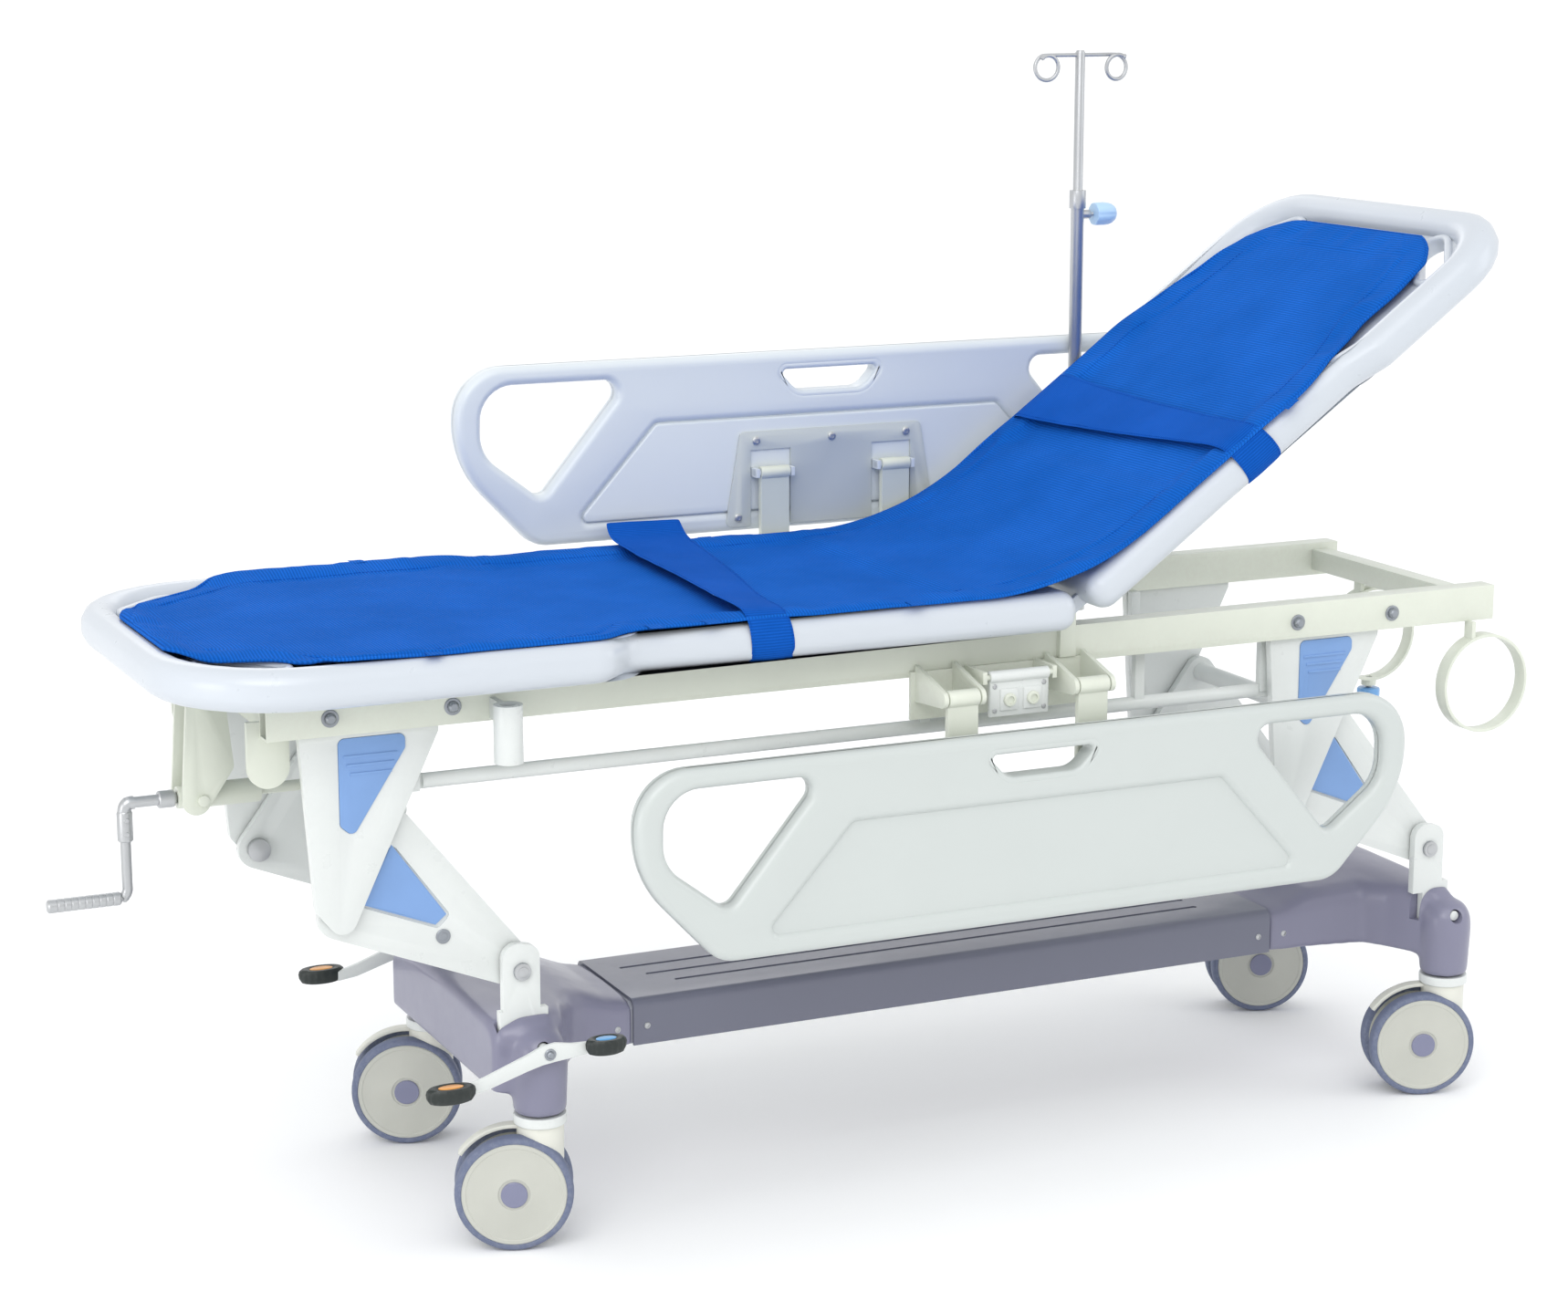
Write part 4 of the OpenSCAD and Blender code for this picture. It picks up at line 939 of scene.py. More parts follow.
def leg_insert(node, x0):
    """Folded blue insert of a leg, with three facets."""
    parts = []
    for side in (-1, 1):
        inner, outer = side * 0.1792, side * 0.1829
        a = Vector((x0 - 0.161, 0, 0.535))
        b = Vector((x0 - 0.201, 0, 0.460))
        c = Vector((x0 - 0.104, 0, 0.4215))
        d = Vector((x0 - 0.089, 0, 0.434))
        fold_top = a.lerp(d, 0.10)
        fold_low = b.lerp(c, 0.42)
        outline = [a, b, fold_low, c, d, fold_top]
        outline = [p.lerp((a + b + c) / 3, 0.045) for p in outline]
        heights = [0.0, 0.0, 0.0006, -0.0006, -0.0006, 0.0006]
        rings = [[(p.x, inner, p.z) for p in outline],
                 [(p.x, outer + side * h - side * 0.0006, p.z) for p, h in zip(outline, heights)],
                 [(p.lerp((a + b + c) / 3, 0.05).x, outer + side * h, p.lerp((a + b + c) / 3, 0.05).z)
                  for p, h in zip(outline, heights)]]
        parts.append(loft("insert", rings))
    add(joined(node + "_facets", parts), node, angle=12)


def crank():
    """Cranked handle with its coupling, arm and turning grip."""
    screw_z = joint["crank_spin"]["pos_m"][2]
    grip = Vector(joint["grip_spin"]["pos_m"])
    x = grip.x
    shaft_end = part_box("crank_arm")[1].x
    parts = [lathe("shaft",
        [(0, 0), (0.0070, 0), (0.0070, shaft_end - x - 0.024), (0.0062, shaft_end - x - 0.024),
        (0, shaft_end - x - 0.024)],
                   (x, 0, screw_z), (1, 0, 0), 32)]
    sleeve = [(0, -0.050), (0.0098, -0.050), (0.0110, -0.0485), (0.0110, -0.031), (0.0098, -0.0295),
        (0, -0.0295)]
    parts.append(lathe("sleeve", sleeve, (joint["crank_spin"]["pos_m"][0], 0, screw_z), (1, 0, 0), 32))
    elbow = smooth_path([(x + 0.012, 0, screw_z), (x + 0.004, 0, screw_z - 0.001), (x, 0, screw_z - 0.008),
        (x, 0, screw_z - 0.02)], 6)
    parts.append(tube("elbow", elbow, 0.0085, 20))
    socket = [(0, -0.048), (0.0085, -0.048), (0.0097, -0.0465), (0.0097, -0.0120), (0.0088, -0.0100),
        (0, -0.0100)]
    parts.append(lathe("socket", socket, (x, 0, screw_z), (0, 0, 1), 32))
    corner = smooth_path([(x, 0, screw_z - 0.040), (x, 0, grip.z + 0.02), (x, 0, grip.z + 0.010),
        (x - 0.0035, 0, grip.z + 0.0025),
                          (x - 0.011, 0, grip.z), (x - 0.06, 0, grip.z), (x - 0.092, 0, grip.z)], 7)
    parts.append(tube("arm", corner, [0.0065 if p.x > x - 0.0075 else 0.0046 for p in corner], 20))
    for z in (screw_z - 0.020, screw_z - 0.038):
        parts.append(lathe("pin",
            [(0, -0.0108), (0.0028, -0.0108), (0.0034, -0.0100), (0.0034, 0.0100), (0.0028, 0.0108),
            (0, 0.0108)],
                           (x, 0, z), (0, 1, 0), 16))
    add(joined("crank_handle", parts), "crank_arm", angle=35)
    length = 0.100
    profile = [(0.0049, -length), (0.0068, -length), (0.0085, -length + 0.002)]
    for k in range(9):
        along = -length + 0.012 + 0.0086 * k
        profile += [(0.0085, along - 0.0012), (0.0080, along - 0.0006), (0.0080, along + 0.0006),
            (0.0085, along + 0.0012)]
    profile += [(0.0085, -0.011), (0.0072, -0.0092), (0.0049, -0.0092)]
    steps = 36
    rings = [[(x + h, r * math.cos(2 * math.pi * k / steps),
        grip.z + r * math.sin(2 * math.pi * k / steps)) for k in range(steps)]
             for r, h in profile]
    add(loft("crank_grip_sleeve", rings), "crank_grip", angle=30)


def pole_top():
    """Inner pole with its cross bar and two pigtail hooks."""
    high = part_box("pole_upper")[1]
    x, y = joint["pole_knob_turn"]["pos_m"][0], joint["pole_knob_turn"]["pos_m"][1]
    bar_z = high.z - 0.007
    parts = [lathe("pole",
        [(0, 0.700), (0.007, 0.700), (0.007, bar_z + 0.003), (0.0055, bar_z + 0.0065), (0, bar_z + 0.007)],
                   (x, y, 0), (0, 0, 1), 32)]
    for side in (-1, 1):
        hook = [(x, y, bar_z), (x + side * 0.030, y, bar_z), (x + side * 0.052, y, bar_z)]
        turns = 1.08
        radius = 0.0175
        centre = Vector((x + side * 0.0575, y, bar_z - radius))
        count = 26
        for k in range(1, count + 1):
            turn = math.pi / 2 - 2 * math.pi * turns * k / count
            hook.append((centre.x + side * radius * math.cos(turn), y - 0.010 * k / count,
                         centre.z + radius * math.sin(turn)))
        path = smooth_path(hook, 3)
        parts.append(tube("hook", path, 0.0029, 12))
        parts.append(lathe("tip", [(0, 0), (0.0029, 0), (0.0038, 0.001), (0.0038, 0.003), (0, 0.0042)],
            path[-1],
                           (path[-1] - path[-2]).normalized(), 12))
    add(joined("hook_pole", parts), "pole_upper", angle=35)


def fluted_knob(name, place, out, radius, length):
    """Moulded knob with shallow flutes and a round nose."""
    steps = 72
    turn = Vector((0, 0, 1)).rotation_difference(Vector(out)).to_matrix().to_4x4()
    at = Matrix.Translation(place) @ turn
    rings = []
    for share, height in ((0.70, 0.0), (0.94, 0.03), (1.0, 0.10), (1.0, 0.45), (0.97, 0.60), (0.86, 0.76),
            (0.66, 0.89), (0.36, 0.97),
                          (0.05, 1.0)):
        ring = []
        for k in range(steps):
            angle = 2 * math.pi * k / steps
            flute = 1 - (0.045 if 0.02 < height < 0.8 else 0.0) * (0.5 + 0.5 * math.cos(8 * angle)) ** 3
            ring.append(at @ Vector((radius * share * flute * math.cos(angle),
                radius * share * flute * math.sin(angle),
                                     length * height)))
        rings.append(ring)
    return loft(name, rings)


def knobs():
    x, y, z = joint["pole_knob_turn"]["pos_m"]
    knob = fluted_knob("knob", (x + 0.026, y, z), (1, 0, 0), 0.0168, 0.038)
    screw = lathe("thread",
        [(0, 0.008)] + [(0.0030 if k % 2 else 0.0026, 0.008 + 0.001 * k) for k in range(21)] + [(0, 0.0285)],
                  (x, y, z), (1, 0, 0), 20)
    add(knob, "pole_clamp_knob", "pole_knob_moulding", material=MATERIALS["pale_knob"])
    detail(screw, "pole_clamp_knob", MATERIALS["chrome"])
    screw.name = "pole_knob_screw"
    x, y, _ = joint["ring_knob_turn"]["pos_m"]
    low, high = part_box("ring_clamp_knob")
    knob = fluted_knob("knob", (x, y, low.z + 0.024), (0, 0, -1), 0.0168, 0.0239)
    screw = lathe("thread",
        [(0, low.z + 0.020)] + [(0.0050 if k % 2 else 0.0044, low.z + 0.0205 + 0.0014 * k) for k in range(14)]
                  + [(0, high.z - 0.0002)], (x, y, 0), (0, 0, 1), 20)
    add(knob, "ring_clamp_knob", "ring_knob_moulding")
    detail(screw, "ring_clamp_knob", MATERIALS["chrome"])
    screw.name = "ring_knob_screw"


def brake_pedals():
    """Ribbed oval pads with a coloured dot, on a bent lever at each side."""
    shaft = Vector(joint["brake_rock"]["pos_m"])
    pads, dots, levers = [], {"pedal_dot_orange": [], "pedal_dot_blue": []}, []
    for side in (-1, 1):
        for dx, dz, half_len, dot in ((-0.132, -0.030, 0.032, "pedal_dot_orange"),
                (0.072, 0.004, 0.027, "pedal_dot_blue")):
            centre = shaft + Vector((dx, 0, dz))
            centre.y = side * 0.266
            steps = 64
            rings = []
            for share, height, rib in ((0.70, -0.010, 0), (0.86, -0.0085, 0.4), (0.97, -0.003, 1),
                    (1.0, 0.003, 1), (0.96, 0.0075, 0.8),
                                       (0.86, 0.0098, 0), (0.62, 0.0098, 0), (0.56, 0.0088, 0)):
                ring = []
                for k in range(steps):
                    angle = 2 * math.pi * k / steps
                    flute = 1 - 0.05 * rib * (0.5 + 0.5 * math.cos(18 * angle)) ** 2
                    ring.append(centre + Vector((half_len * share * flute * math.cos(angle),
                                                 0.0160 * share * flute * math.sin(angle), height)))
                rings.append(ring)
            pads.append(loft("pad", rings))
            disc = []
            for share, height in ((0.50, 0.0080), (0.50, 0.0094), (0.44, 0.0100)):
                disc.append([centre + Vector((half_len * share * math.cos(2 * math.pi * k / 40),
                                              0.0160 * share * math.sin(2 * math.pi * k / 40),
                                              height)) for k in range(40)])
            dots[dot].append(loft("dot", disc))
        # Flat lever, bent at the shaft
        path = [(-0.112, -0.032), (-0.085, -0.0265), (-0.030, -0.0080), (-0.010, -0.001), (0.008, 0.0015),
            (0.030, 0.0005), (0.052, 0.0015)]
        deep = [0.0065, 0.0085, 0.0100, 0.0118, 0.0118, 0.0090, 0.0070]
        rings = []
        for (dx, dz), half in zip(path, deep):
            rings.append([shaft + Vector((dx, side * (0.2566 + w), dz + h)) for w, h in (
                (-0.0034, -half * 0.8), (-0.0026, -half), (0.0026, -half), (0.0034, -half * 0.8),
                (0.0034, half * 0.8), (0.0026, half), (-0.0026, half), (-0.0034, half * 0.8))])
        levers.append(loft("lever", rings))
    levers.append(lathe("shaft",
        [(0, -0.261), (0.0062, -0.261), (0.0070, -0.260), (0.0070, 0.260), (0.0062, 0.261), (0, 0.261)],
                        shaft, (0, 1, 0), 28))
    for y in (-0.011, 0.011):
        cheek = rounded([(-0.006, 0.004, 0.003), (0.006, 0.004, 0.003), (0.006, -0.026, 0.005),
            (-0.006, -0.026, 0.005)])
        levers.append(plate("cheek", cheek, [], -0.003, 0.003, 0.0008,
                            Matrix.Translation(shaft + Vector((0, y, 0))) @ Matrix.Rotation(math.pi / 2, 4,
                            "X"), 2))
    add(joined("brake_lever_pair", levers), "brake_shaft_foot", angle=30)
    add(joined("brake_pad_rubbers", pads), "brake_pads", angle=50)
    detail(joined("brake_pad_dots_orange", dots["pedal_dot_orange"]), "brake_pads", MATERIALS["dot_orange"])
    detail(joined("brake_pad_dots_blue", dots["pedal_dot_blue"]), "brake_pads", MATERIALS["dot_blue"])
    heads = []
    for side in (-1, 1):
        heads += bolt(shaft + Vector((0, side * 0.2600, 0)), (0, side, 0), 0.0050, 0.0046)
    detail(joined("brake_lever_bolts", heads), "brake_pads", MATERIALS["bolt"])


def rail_plate_screws(side, sign):
    """Screw caps on the plate inside a side rail."""
    lift = RAIL_UP if side == "far" else 0.0
    heads = [screw_head((RAIL_X + x, sign * (RAIL_IN - 0.0044), z + lift), (0, -sign, 0), 0.0058, 0.0016)
             for x, z in ((-0.146, 0.393), (0.146, 0.393), (0, 0.501), (-0.118, 0.501), (0.118, 0.501))]
    detail(joined(f"rail_plate_screws_{side}", heads), "rail_plate_" + side, MATERIALS["chrome"])


def latch_details(side, sign):
    """Two small barrels and screws on the latch between the swing arms."""
    parts = []
    for x in (-0.017, 0.017):
        parts.append(lathe("barrel",
            [(0, 0), (0.0088, 0), (0.0088, 0.0030), (0.0078, 0.0042), (0.0052, 0.0045), (0.0050, 0.0020),
            (0, 0.0020)],
                           (RAIL_X + x, sign * 0.2690, 0.654), (0, sign, 0), 28))
    detail(joined(f"latch_barrels_{side}", parts), "rail_latch_" + side, MATERIALS["cream_metal"])
    screws = [screw_head((RAIL_X + x, sign * 0.2660, z), (0, sign, 0), 0.0034, 0.0014)
              for x, z in ((-0.037, 0.640), (0.035, 0.640), (-0.037, 0.672), (0.035, 0.672))]
    detail(joined(f"latch_screws_{side}", screws), "rail_latch_" + side, MATERIALS["chrome"])


# ---------------------------------------------------------------- fabrics

MAT_LEVEL = RIM_LIFT + 0.0012
BEND = 0.14
BEND_RADIUS = BEND / math.tan(BACK_ANGLE / 2)
BEND_START = -MAT_LEVEL * math.tan(BACK_ANGLE / 2) - BEND
BEND_STOP = BEND_START + BEND_RADIUS * BACK_ANGLE
BACK_SHIFT = -2 * BEND_START - BEND_RADIUS * BACK_ANGLE
NEAR_EDGE = [(-1.178, .128), (-1.170, .162), (-1.134, .188), (-1.090, .205), (-1.052, .214), (-1.036, .262),
    (-1.020, .294),
             (-0.950, .298), (-0.675, .298), (-0.645, .268), (0.250, .270), (0.375, .275), (0.420, .268),
             (0.490, .242),
             (0.532, .222), (0.595, .227), (0.664, .216), (0.695, .190), (0.712, .145)]
FAR_EDGE = [(-1.178, .060), (-1.170, .098), (-1.150, .150), (-1.125, .187), (-1.053, .242), (-1.028, .256),
    (-0.988, .298),
            (-0.750, .300), (-0.675, .300), (-0.645, .268), (0.370, .271), (0.442, .274), (0.507, .256),
            (0.629, .238),
            (0.680, .205), (0.700, .175), (0.712, .130)]
TRAY_DROP = 0.009


def tray_depth(u, y):
    """How far the pad sinks between the rims, which hold it up along the deck's edge."""
    half = DECK_HALF if u < -0.65 else NECK_HALF if u < 0.46 else BACK_HALF
    inside = min(half - 0.036 - abs(y), u - FOOT_END - 0.036, 0.745 - u)
    if u > -0.30:
        inside = min(inside, max(abs(u) - 0.16, -0.01))
    share = min(max(inside / 0.035, 0), 1)
    return TRAY_DROP * share * share * (3 - 2 * share)


def cloth_place(u, y, n):
    """Point at u along the pad's bent middle line from the hinge, y across it and n above its lower face."""
    if u <= BEND_START:
        return HINGE + Vector((u, y, MAT_LEVEL + n))
    if u >= BEND_STOP:
        return BACK @ Vector((u + BACK_SHIFT, y, MAT_LEVEL + n))
    turn = (u - BEND_START) / BEND_RADIUS
    reach = BEND_RADIUS - n
    return HINGE + Vector((BEND_START + reach * math.sin(turn), y,
        MAT_LEVEL + BEND_RADIUS - reach * math.cos(turn)))


def ripple(u, y, size, seed):
    return noise.noise(Vector((u / size, y / size, seed)))


def closed_grid(name, top, low, flat):
    """Closed skin over two equal grids of points that meet along their border, with its map in metres."""
    count, wide = len(top), len(top[0])
    bm = bmesh.new()
    upper = [[bm.verts.new(p) for p in row] for row in top]
    lower = [[upper[i][k] if i in (0, count - 1) or k in (0, wide - 1) else bm.verts.new(low[i][k])
              for k in range(wide)] for i in range(count)]
    weave = bm.loops.layers.uv.new("weave")
    for grid, turned in ((upper, False), (lower, True)):
        for i in range(count - 1):
            for k in range(wide - 1):
                spots = [(i, k), (i + 1, k), (i + 1, k + 1), (i, k + 1)]
                spots = spots[::-1] if turned else spots
                face = bm.faces.new([grid[a][b] for a, b in spots])
                for loop, (a, b) in zip(face.loops, spots):
                    loop[weave].uv = flat[a][b]
    bmesh.ops.recalc_face_normals(bm, faces=bm.faces)
    mesh = bpy.data.meshes.new(name)
    bm.to_mesh(mesh)
    bm.free()
    return as_object(name, mesh)


def swell(obj, held, pressure, most):
    """Fills a closed cloth with air for a moment, keeping the held points, and keeps every move under a limit."""
    start = np.array([v.co for v in obj.data.vertices])
    group = obj.vertex_groups.new(name="held")
    for index, weight in held:
        group.add([index], weight, "REPLACE")
    cloth = obj.modifiers.new("cloth", "CLOTH")
    settings = cloth.settings
    settings.quality = 5
    settings.mass = 0.25
    settings.tension_stiffness = 18
    settings.compression_stiffness = 18
    settings.shear_stiffness = 8
    settings.bending_stiffness = 0.5
    settings.use_pressure = True
    settings.uniform_pressure_force = pressure
    settings.shrink_min = -0.02
    settings.vertex_group_mass = "held"
    settings.effector_weights.gravity = 0
    cloth.collision_settings.use_collision = False
    cloth.point_cache.frame_start = 1
    cloth.point_cache.frame_end = 20
    for step in range(1, 21):
        bpy.context.scene.frame_set(step)
    applied(obj)
    bpy.context.scene.frame_set(1)
    moved = np.array([v.co for v in obj.data.vertices]) - start
    size = np.linalg.norm(moved, axis=1, keepdims=True)
    moved *= np.minimum(1, most / np.maximum(size, 1e-9))
    obj.data.vertices.foreach_set("co", (start + moved).ravel())
    obj.vertex_groups.clear()


def subdivided(obj):
    modifier = obj.modifiers.new("finer", "SUBSURF")
    modifier.levels = modifier.render_levels = 1
    modifier.uv_smooth = "PRESERVE_BOUNDARIES"
    return applied(obj)


def mat_widths(us):
    """Half widths on the near and far side, with a slightly wavy edge."""
    near = np.interp(us, *zip(*NEAR_EDGE))
    far = np.interp(us, *zip(*FAR_EDGE))
    kernel = np.array([1, 2, 3, 2, 1]) / 9
    near = np.convolve(np.pad(near, 2, "edge"), kernel, "valid")
    far = np.convolve(np.pad(far, 2, "edge"), kernel, "valid")
    near += [0.0022 * ripple(u, 0, 0.07, 3) for u in us]
    far += [0.0022 * ripple(u, 0, 0.07, 8) for u in us]
    return near, far


def mattress():
    spacing = 0.0115
    first, last = NEAR_EDGE[0][0], NEAR_EDGE[-1][0]
    steps = [0, 0.004, 0.012, 0.022, 0.033, 0.041, 0.046, 0.051]
    us = [first + s for s in steps]
    count = int((last - first - 0.102) / spacing)
    us += [first + 0.051 + (last - first - 0.102) * k / count for k in range(1, count)]
    us += [last - s for s in reversed(steps)]
    us = np.array(us)
    near, far = mat_widths(us)
    inner = 42
    top, low, flat = [], [], []
    for i, u in enumerate(us):
        ys = [-near[i] + s for s in steps]
        wide = near[i] + far[i] - 0.102
        ys += [-near[i] + 0.051 + wide * k / inner for k in range(1, inner)]
        ys += [far[i] - s for s in reversed(steps)]
        row_top, row_low, row_flat = [], [], []
        for k, y in enumerate(ys):
            across = min(y + near[i], far[i] - y)
            edge = min(across, u - first, last - u)
            hem = 0.0030 + 0.0052 * math.sqrt(max(min(edge / 0.018, 1), 0))
            rise = min(max((edge - 0.046) / 0.030, 0), 1)
            dip = math.exp(-((edge - 0.046) / 0.0045) ** 2)
            high = hem - 0.0030 * dip + 0.0040 * rise ** 0.5
            high += 0.0011 * ripple(u, y, 0.10, 1) * rise + 0.0005 * ripple(u, y * 0.3, 0.018, 5)
            # The cover gathers where the pad bends
            bent = math.exp(-((u - (BEND_START + BEND_STOP) / 2) / 0.075) ** 2)
            high += bent * 0.0013 * math.sin((u + 0.012 * ripple(u, y, 0.09, 11)) * 175) * (0.55 + ripple(u,
                y, 0.12, 9))
            lifted = max(0, ripple(u, 0 if y < 0 else 5, 0.13, 21)) * 0.004 * max(0, 1 - across / 0.05)
            sag = tray_depth(u, y)
            row_top.append(cloth_place(u, y, high + lifted - sag))
            row_low.append(cloth_place(u, y, lifted - sag))
            row_flat.append((u, y))
        # The border is one thin folded edge
        for k, other in ((0, 0), (-1, 5)):
            row_top[k] = cloth_place(u, ys[k],
                0.0020 + max(0, ripple(u, other, 0.13, 21)) * 0.004 - tray_depth(u, ys[k]))
        if i in (0, len(us) - 1):
            row_top = [cloth_place(u, y, 0.0020 - tray_depth(u, y)) for y in ys]
        top.append(row_top)
        low.append(row_low)
        flat.append(row_flat)
    pad = closed_grid("mattress_pad", top, low, flat)
    seams = {(i, k) for i in range(len(us)) for k in (6, len(top[0]) - 7)} | {
        (i, k) for i in (6, len(us) - 7) for k in range(len(top[0]))}
    wide = len(top[0])
    loose = {i * wide + k for i in range(1, len(us) - 1) for k in range(1,
        wide - 1)} - {i * wide + k for i, k in seams}
    held = [(v.index, 1.0) for v in pad.data.vertices if v.index not in loose]
    swell(pad, held, 4.0, 0.006)
    subdivided(pad)
    finish_fabric(pad, "mattress", ("mattress_seat", "mattress_back"))
    # Bound edge and two rows of stitches along the seam
    loop = [(i, 0) for i in range(len(us))] + [(len(us) - 1, k) for k in range(1, wide)] + [
        (i, wide - 1) for i in range(len(us) - 2, -1, -1)] + [(0, k) for k in range(wide - 2, 0, -1)]
    binding = tube("mattress_binding", [top[i][k] for i, k in loop], 0.0023, 8, closed=True)
    add_weave(binding)
    finish_fabric(binding, "mattress", ())
    # Short tabs sewn to the edge
    tabs = []
    for u, side in ((-0.900, -1), (-0.605, -1), (-0.530, -1), (-0.250, -1), (0.360, -1), (-0.800, 1),
            (-0.300, 1)):
        at = np.interp(u, us, near if side < 0 else far)
        grids = ([], [], [])
        for a in range(6):
            for grid in grids:
                grid.append([])
            for b in range(5):
                out, along = -0.010 + 0.024 * b / 4, u + 0.020 * (a / 5 - 0.5)
                fall = 0.0035 - 0.5 * max(out, 0) ** 1.2 * (0.25 if side < 0 else 0.15)
                base = cloth_place(along, side * (at + out), fall + 0.0008 * ripple(along, out, 0.01, 4))
                grids[0][-1].append(base + Vector((0, 0, 0.0012)))
                grids[1][-1].append(base)
                grids[2][-1].append((along, out))
        tabs.append(closed_grid("tab", *grids))
    tabs = joined("mattress_tabs", tabs)
    finish_fabric(tabs, "mattress", ())
    for name, row in (("near", 6), ("far", wide - 7)):
        threads = []
        for i in range(7, len(us) - 8):
            for share in (0.1, 0.6):
                a = top[i][row].lerp(top[i + 1][row], share) + Vector((0, 0, 0.0005))
                b = top[i][row].lerp(top[i + 1][row], share + 0.34) + Vector((0, 0, 0.0005))
                threads.append(tube("stitch", [a, a.lerp(b, 0.5) + Vector((0, 0, 0.0004)), b], 0.00045, 5))
        stitches = joined(f"mattress_stitches_{name}", threads)
        add_weave(stitches)
        finish_fabric(stitches, "mattress", ())


def add_weave(obj):
    """Map in metres for a small piece of cloth, taken from its own place."""
    layer = obj.data.uv_layers.new(name="weave")
    for loop in obj.data.loops:
        co = obj.data.vertices[loop.vertex_index].co
        layer.data[loop.index].uv = (co.x, co.y + co.z)


def finish_fabric(obj, slot, nodes):
    """Shading, material and fixed place of a piece that lies across the backrest hinge; hides the CAD nodes it
    stands for.
    """
    shade(obj, 60)
    obj.data.materials.clear()
    obj.data.materials.append(MATERIALS[slot])
    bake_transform(obj)
    if nodes:
        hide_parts(*nodes)


def band(name, rows, node, body, columns=12, thick=0.0015):
    """Flat woven strap over rows of (left edge, right edge, upward direction, slack)."""
    top, low, flat = [], [], []
    far = 0.0
    for i, (left, right, up, slack) in enumerate(rows):
        if i:
            far += (left.lerp(right, 0.5) - rows[i - 1][0].lerp(rows[i - 1][1], 0.5)).length
        row_top, row_low, row_flat = [], [], []
        for k in range(columns + 1):
            t = k / columns
            base = left.lerp(right, t)
            crown = 0.0012 * math.sin(math.pi * t) + slack * (1 - t) ** 2
            crown += 0.0007 * ripple(base.x * 1.0 + base.z, base.y, 0.035, 31)
            row_top.append(base + up * (crown + (thick if 0 < k < columns else thick * 0.5)))
            row_low.append(base + up * crown)
            row_flat.append((far, t * (right - left).length))
        top.append(row_top)
        low.append(row_low)
        flat.append(row_flat)
    obj = subdivided(closed_grid(name, top, low, flat))
    shade(obj, 60)
    obj.data.materials.append(MATERIALS["strap"])
    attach(obj, body)
    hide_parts(node)
    # Sewn edges
    threads = []
    for t in (0.07, 0.93):
        for a, b in zip(rows[1:], rows[2:-1]):
            for share in (0.12, 0.62):
                ends = []
                for s in (share, share + 0.3):
                    base = a[0].lerp(b[0], s).lerp(a[1].lerp(b[1], s), t)
                    crown = 0.0012 * math.sin(math.pi * t) + a[3] * (1 - t) ** 2 + 0.0007 * ripple(base.x + base.z, base.y, 0.035, 31)
                    ends.append(base + a[2] * (crown + thick + 0.0001))
                threads.append(tube("stitch", ends, 0.0004, 5))
    stitches = joined(name + "_stitches", threads)
    add_weave(stitches)
    shade(stitches)
    stitches.data.materials.append(MATERIALS["strap"])
    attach(stitches, body)


def resampled(keys, step):
    """Even steps along a smooth curve through keyed values; the first three are the place."""
    path = []
    keys = [list(k) for k in keys]
    for a, b in zip(keys, keys[1:]):
        length = math.dist(a[:3], b[:3])
        count = max(1, round(length / step))
        for k in range(count):
            t = k / count
            path.append([p + (q - p) * t for p, q in zip(a, b)])
    path.append(keys[-1])
    values = np.array(path)
    for _ in range(2):
        values[1:-1] = (values[:-2] + 2 * values[1:-1] + values[2:]) / 4
    return values


def thigh_strap():
    """Strap over the pad at the thighs: (y, height, left edge x, right edge x, slack of the left edge)."""
    z = DECK_TOP - HINGE.z
    keys = [
        (-0.2560, z - 0.0535, -0.478, -0.414, 0), (-0.2690, z - 0.0500, -0.479, -0.416, 0),
        (-0.2772, z - 0.0380, -0.480, -0.418, 0),
        (-0.2778, z - 0.0200, -0.482, -0.420, 0), (-0.2740, z - 0.0010, -0.484, -0.423, 0.001),
        (-0.2600, z + 0.0110, -0.485, -0.425, 0.003),
        (-0.2200, z + 0.0105, -0.485, -0.422, 0.005), (-0.1500, z + 0.0080, -0.480, -0.410, 0.006),
        (0.0000, z + 0.0080, -0.465, -0.375, 0.004),
        (0.1500, z + 0.0080, -0.457, -0.346, 0.003), (0.2200, z + 0.0115, -0.456, -0.338, 0.003),
        (0.2560, z + 0.0140, -0.456, -0.335, 0.004),
        (0.2740, z + 0.0250, -0.455, -0.334, 0.006), (0.2830, z + 0.0360, -0.452, -0.336, 0.004),
    ]
    path = resampled(keys, 0.012)
    rows = []
    for i, (y, h, left, right, slack) in enumerate(path):
        a, b = path[max(i - 1, 0)], path[min(i + 1, len(path) - 1)]
        up = Vector((0, -(b[1] - a[1]), b[0] - a[0])).normalized()
        rows.append((HINGE + Vector((left, y, h)), HINGE + Vector((right, y, h)), up, slack))
    band("thigh_strap", rows, "strap_thigh", "upper_frame")


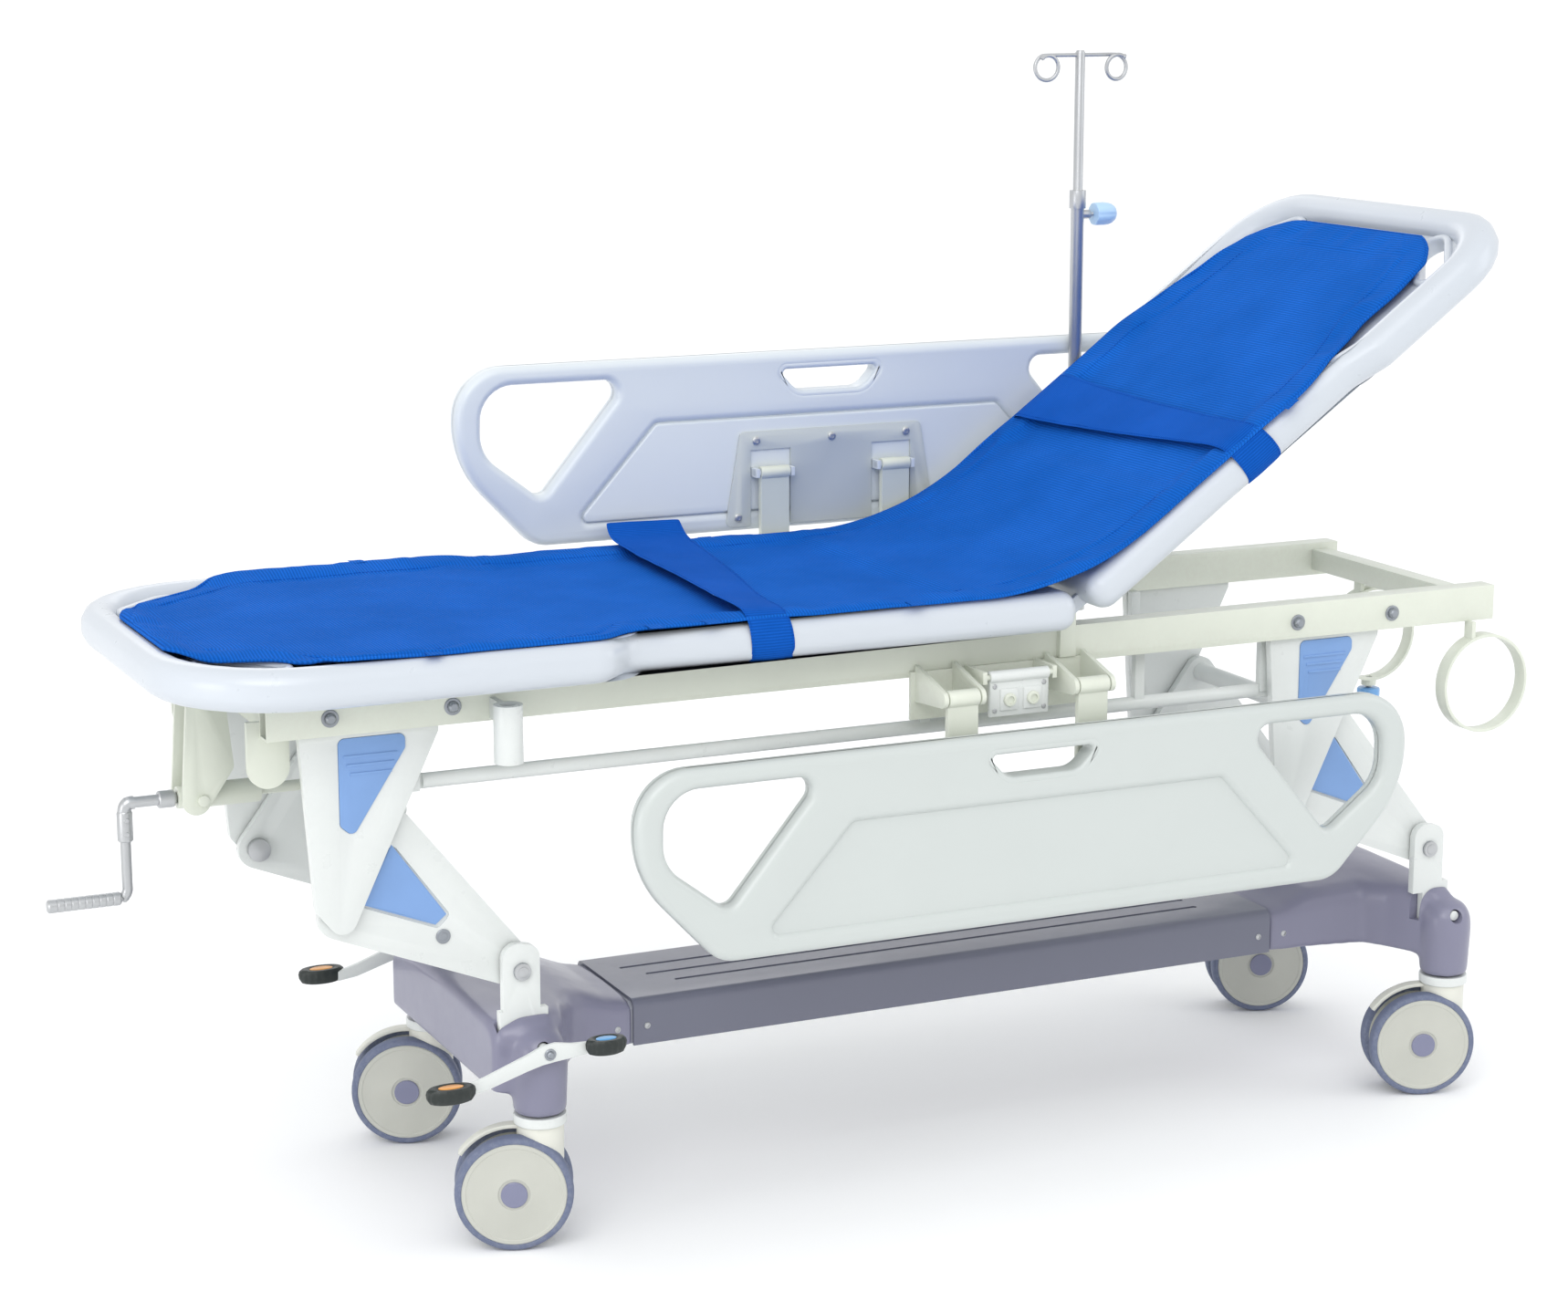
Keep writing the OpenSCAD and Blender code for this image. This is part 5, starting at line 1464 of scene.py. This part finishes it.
def chest_strap():
    """Strap over the backrest: (y, height above the hinge plane, lower edge s, upper edge s, slack)."""
    z = RIM_LIFT
    keys = [
        (-0.2560, z - 0.0535, 0.288, 0.352, 0), (-0.2690, z - 0.0500, 0.287, 0.351, 0),
        (-0.2772, z - 0.0380, 0.286, 0.350, 0),
        (-0.2778, z - 0.0200, 0.285, 0.348, 0), (-0.2740, z - 0.0010, 0.284, 0.346, 0.0005),
        (-0.2600, z + 0.0110, 0.284, 0.343, 0.001),
        (-0.2200, z + 0.0105, 0.285, 0.340, 0.001), (-0.1500, z + 0.0080, 0.280, 0.340, 0.001),
        (0.0000, z + 0.0080, 0.266, 0.342, 0.001),
        (0.1500, z + 0.0080, 0.256, 0.349, 0.001), (0.2200, z + 0.0115, 0.250, 0.352, 0.001),
        (0.2560, z + 0.0125, 0.250, 0.353, 0.001),
        (0.2700, z + 0.0050, 0.250, 0.353, 0.0005), (0.2762, z - 0.0120, 0.251, 0.352, 0),
        (0.2760, z - 0.0280, 0.252, 0.351, 0),
    ]
    path = resampled(keys, 0.012)
    rows = []
    for i, (y, h, left, right, slack) in enumerate(path):
        a, b = path[max(i - 1, 0)], path[min(i + 1, len(path) - 1)]
        up = BACK.to_3x3() @ Vector((0, -(b[1] - a[1]), b[0] - a[0])).normalized()
        rows.append((BACK @ Vector((left, y, h)), BACK @ Vector((right, y, h)), up, slack))
    band("chest_strap", rows, "strap_chest", "backrest")


# ---------------------------------------------------------------- everything in place

MATERIALS = make_materials()

make_camera()
make_studio()
for corner in CORNERS:
    caster(corner)
base_cover_middle()
foot_x, head_x = HINGE.x - 0.075 - 0.683, HINGE.x - 0.075 + 0.683
end_cover("base_cover_foot_moulding", "base_cover_foot", -1, 0.172, 0.229, foot_x, HINGE.x - 0.075 - 0.671)
end_cover("base_cover_head_moulding", "base_cover_head", 1, 0.221, 0.243, head_x, HINGE.x - 0.075 + 0.702)
brake_pedals()
leg_insert("foot_leg_inserts", joint["lift"]["pos_m"][0])
leg_insert("head_leg_inserts", joint["head_leg_swing"]["pos_m"][0])
frame_bolts()
pivot_bolts()
crank()
deck_foot()
deck_backrest()
for side, sign in SIDES:
    rail_panel(side, sign)
    rail_plate_screws(side, sign)
    latch_details(side, sign)
pole_top()
knobs()
mattress()
thigh_strap()
chest_strap()

for node, width in (
    ("base_chassis", 0.002), ("pivot_ears", 0.0012), ("base_pivot_pins", 0.0005), ("foot_leg_arms", 0.0008),
    ("head_leg_arms", 0.0008), ("frame_rails", 0.0018), ("leg_plates", 0.0012), ("leg_plate_inserts", 0.0008),
    ("top_pivot_pins", 0.0005), ("side_tubes", 0.001), ("pole_sockets", 0.0008), ("crank_bracket", 0.0012),
    ("cylinder_rings", 0.001), ("gas_spring_body", 0.0008), ("gas_spring_rod", 0.0004),
    ("lift_screw_housing", 0.001),
    ("lift_nut_tube", 0.0008), ("rail_brackets", 0.001), ("rail_arms_near", 0.0012),
    ("rail_plate_near", 0.0012),
    ("rail_latch_near", 0.0008), ("rail_arms_far", 0.0012), ("rail_plate_far", 0.0012),
    ("rail_latch_far", 0.0008),
    ("pole_lower", 0.0004), ("brake_link_rod", 0.0006), ("brake_shaft_head", 0.0008),
):
    refined(node, width)
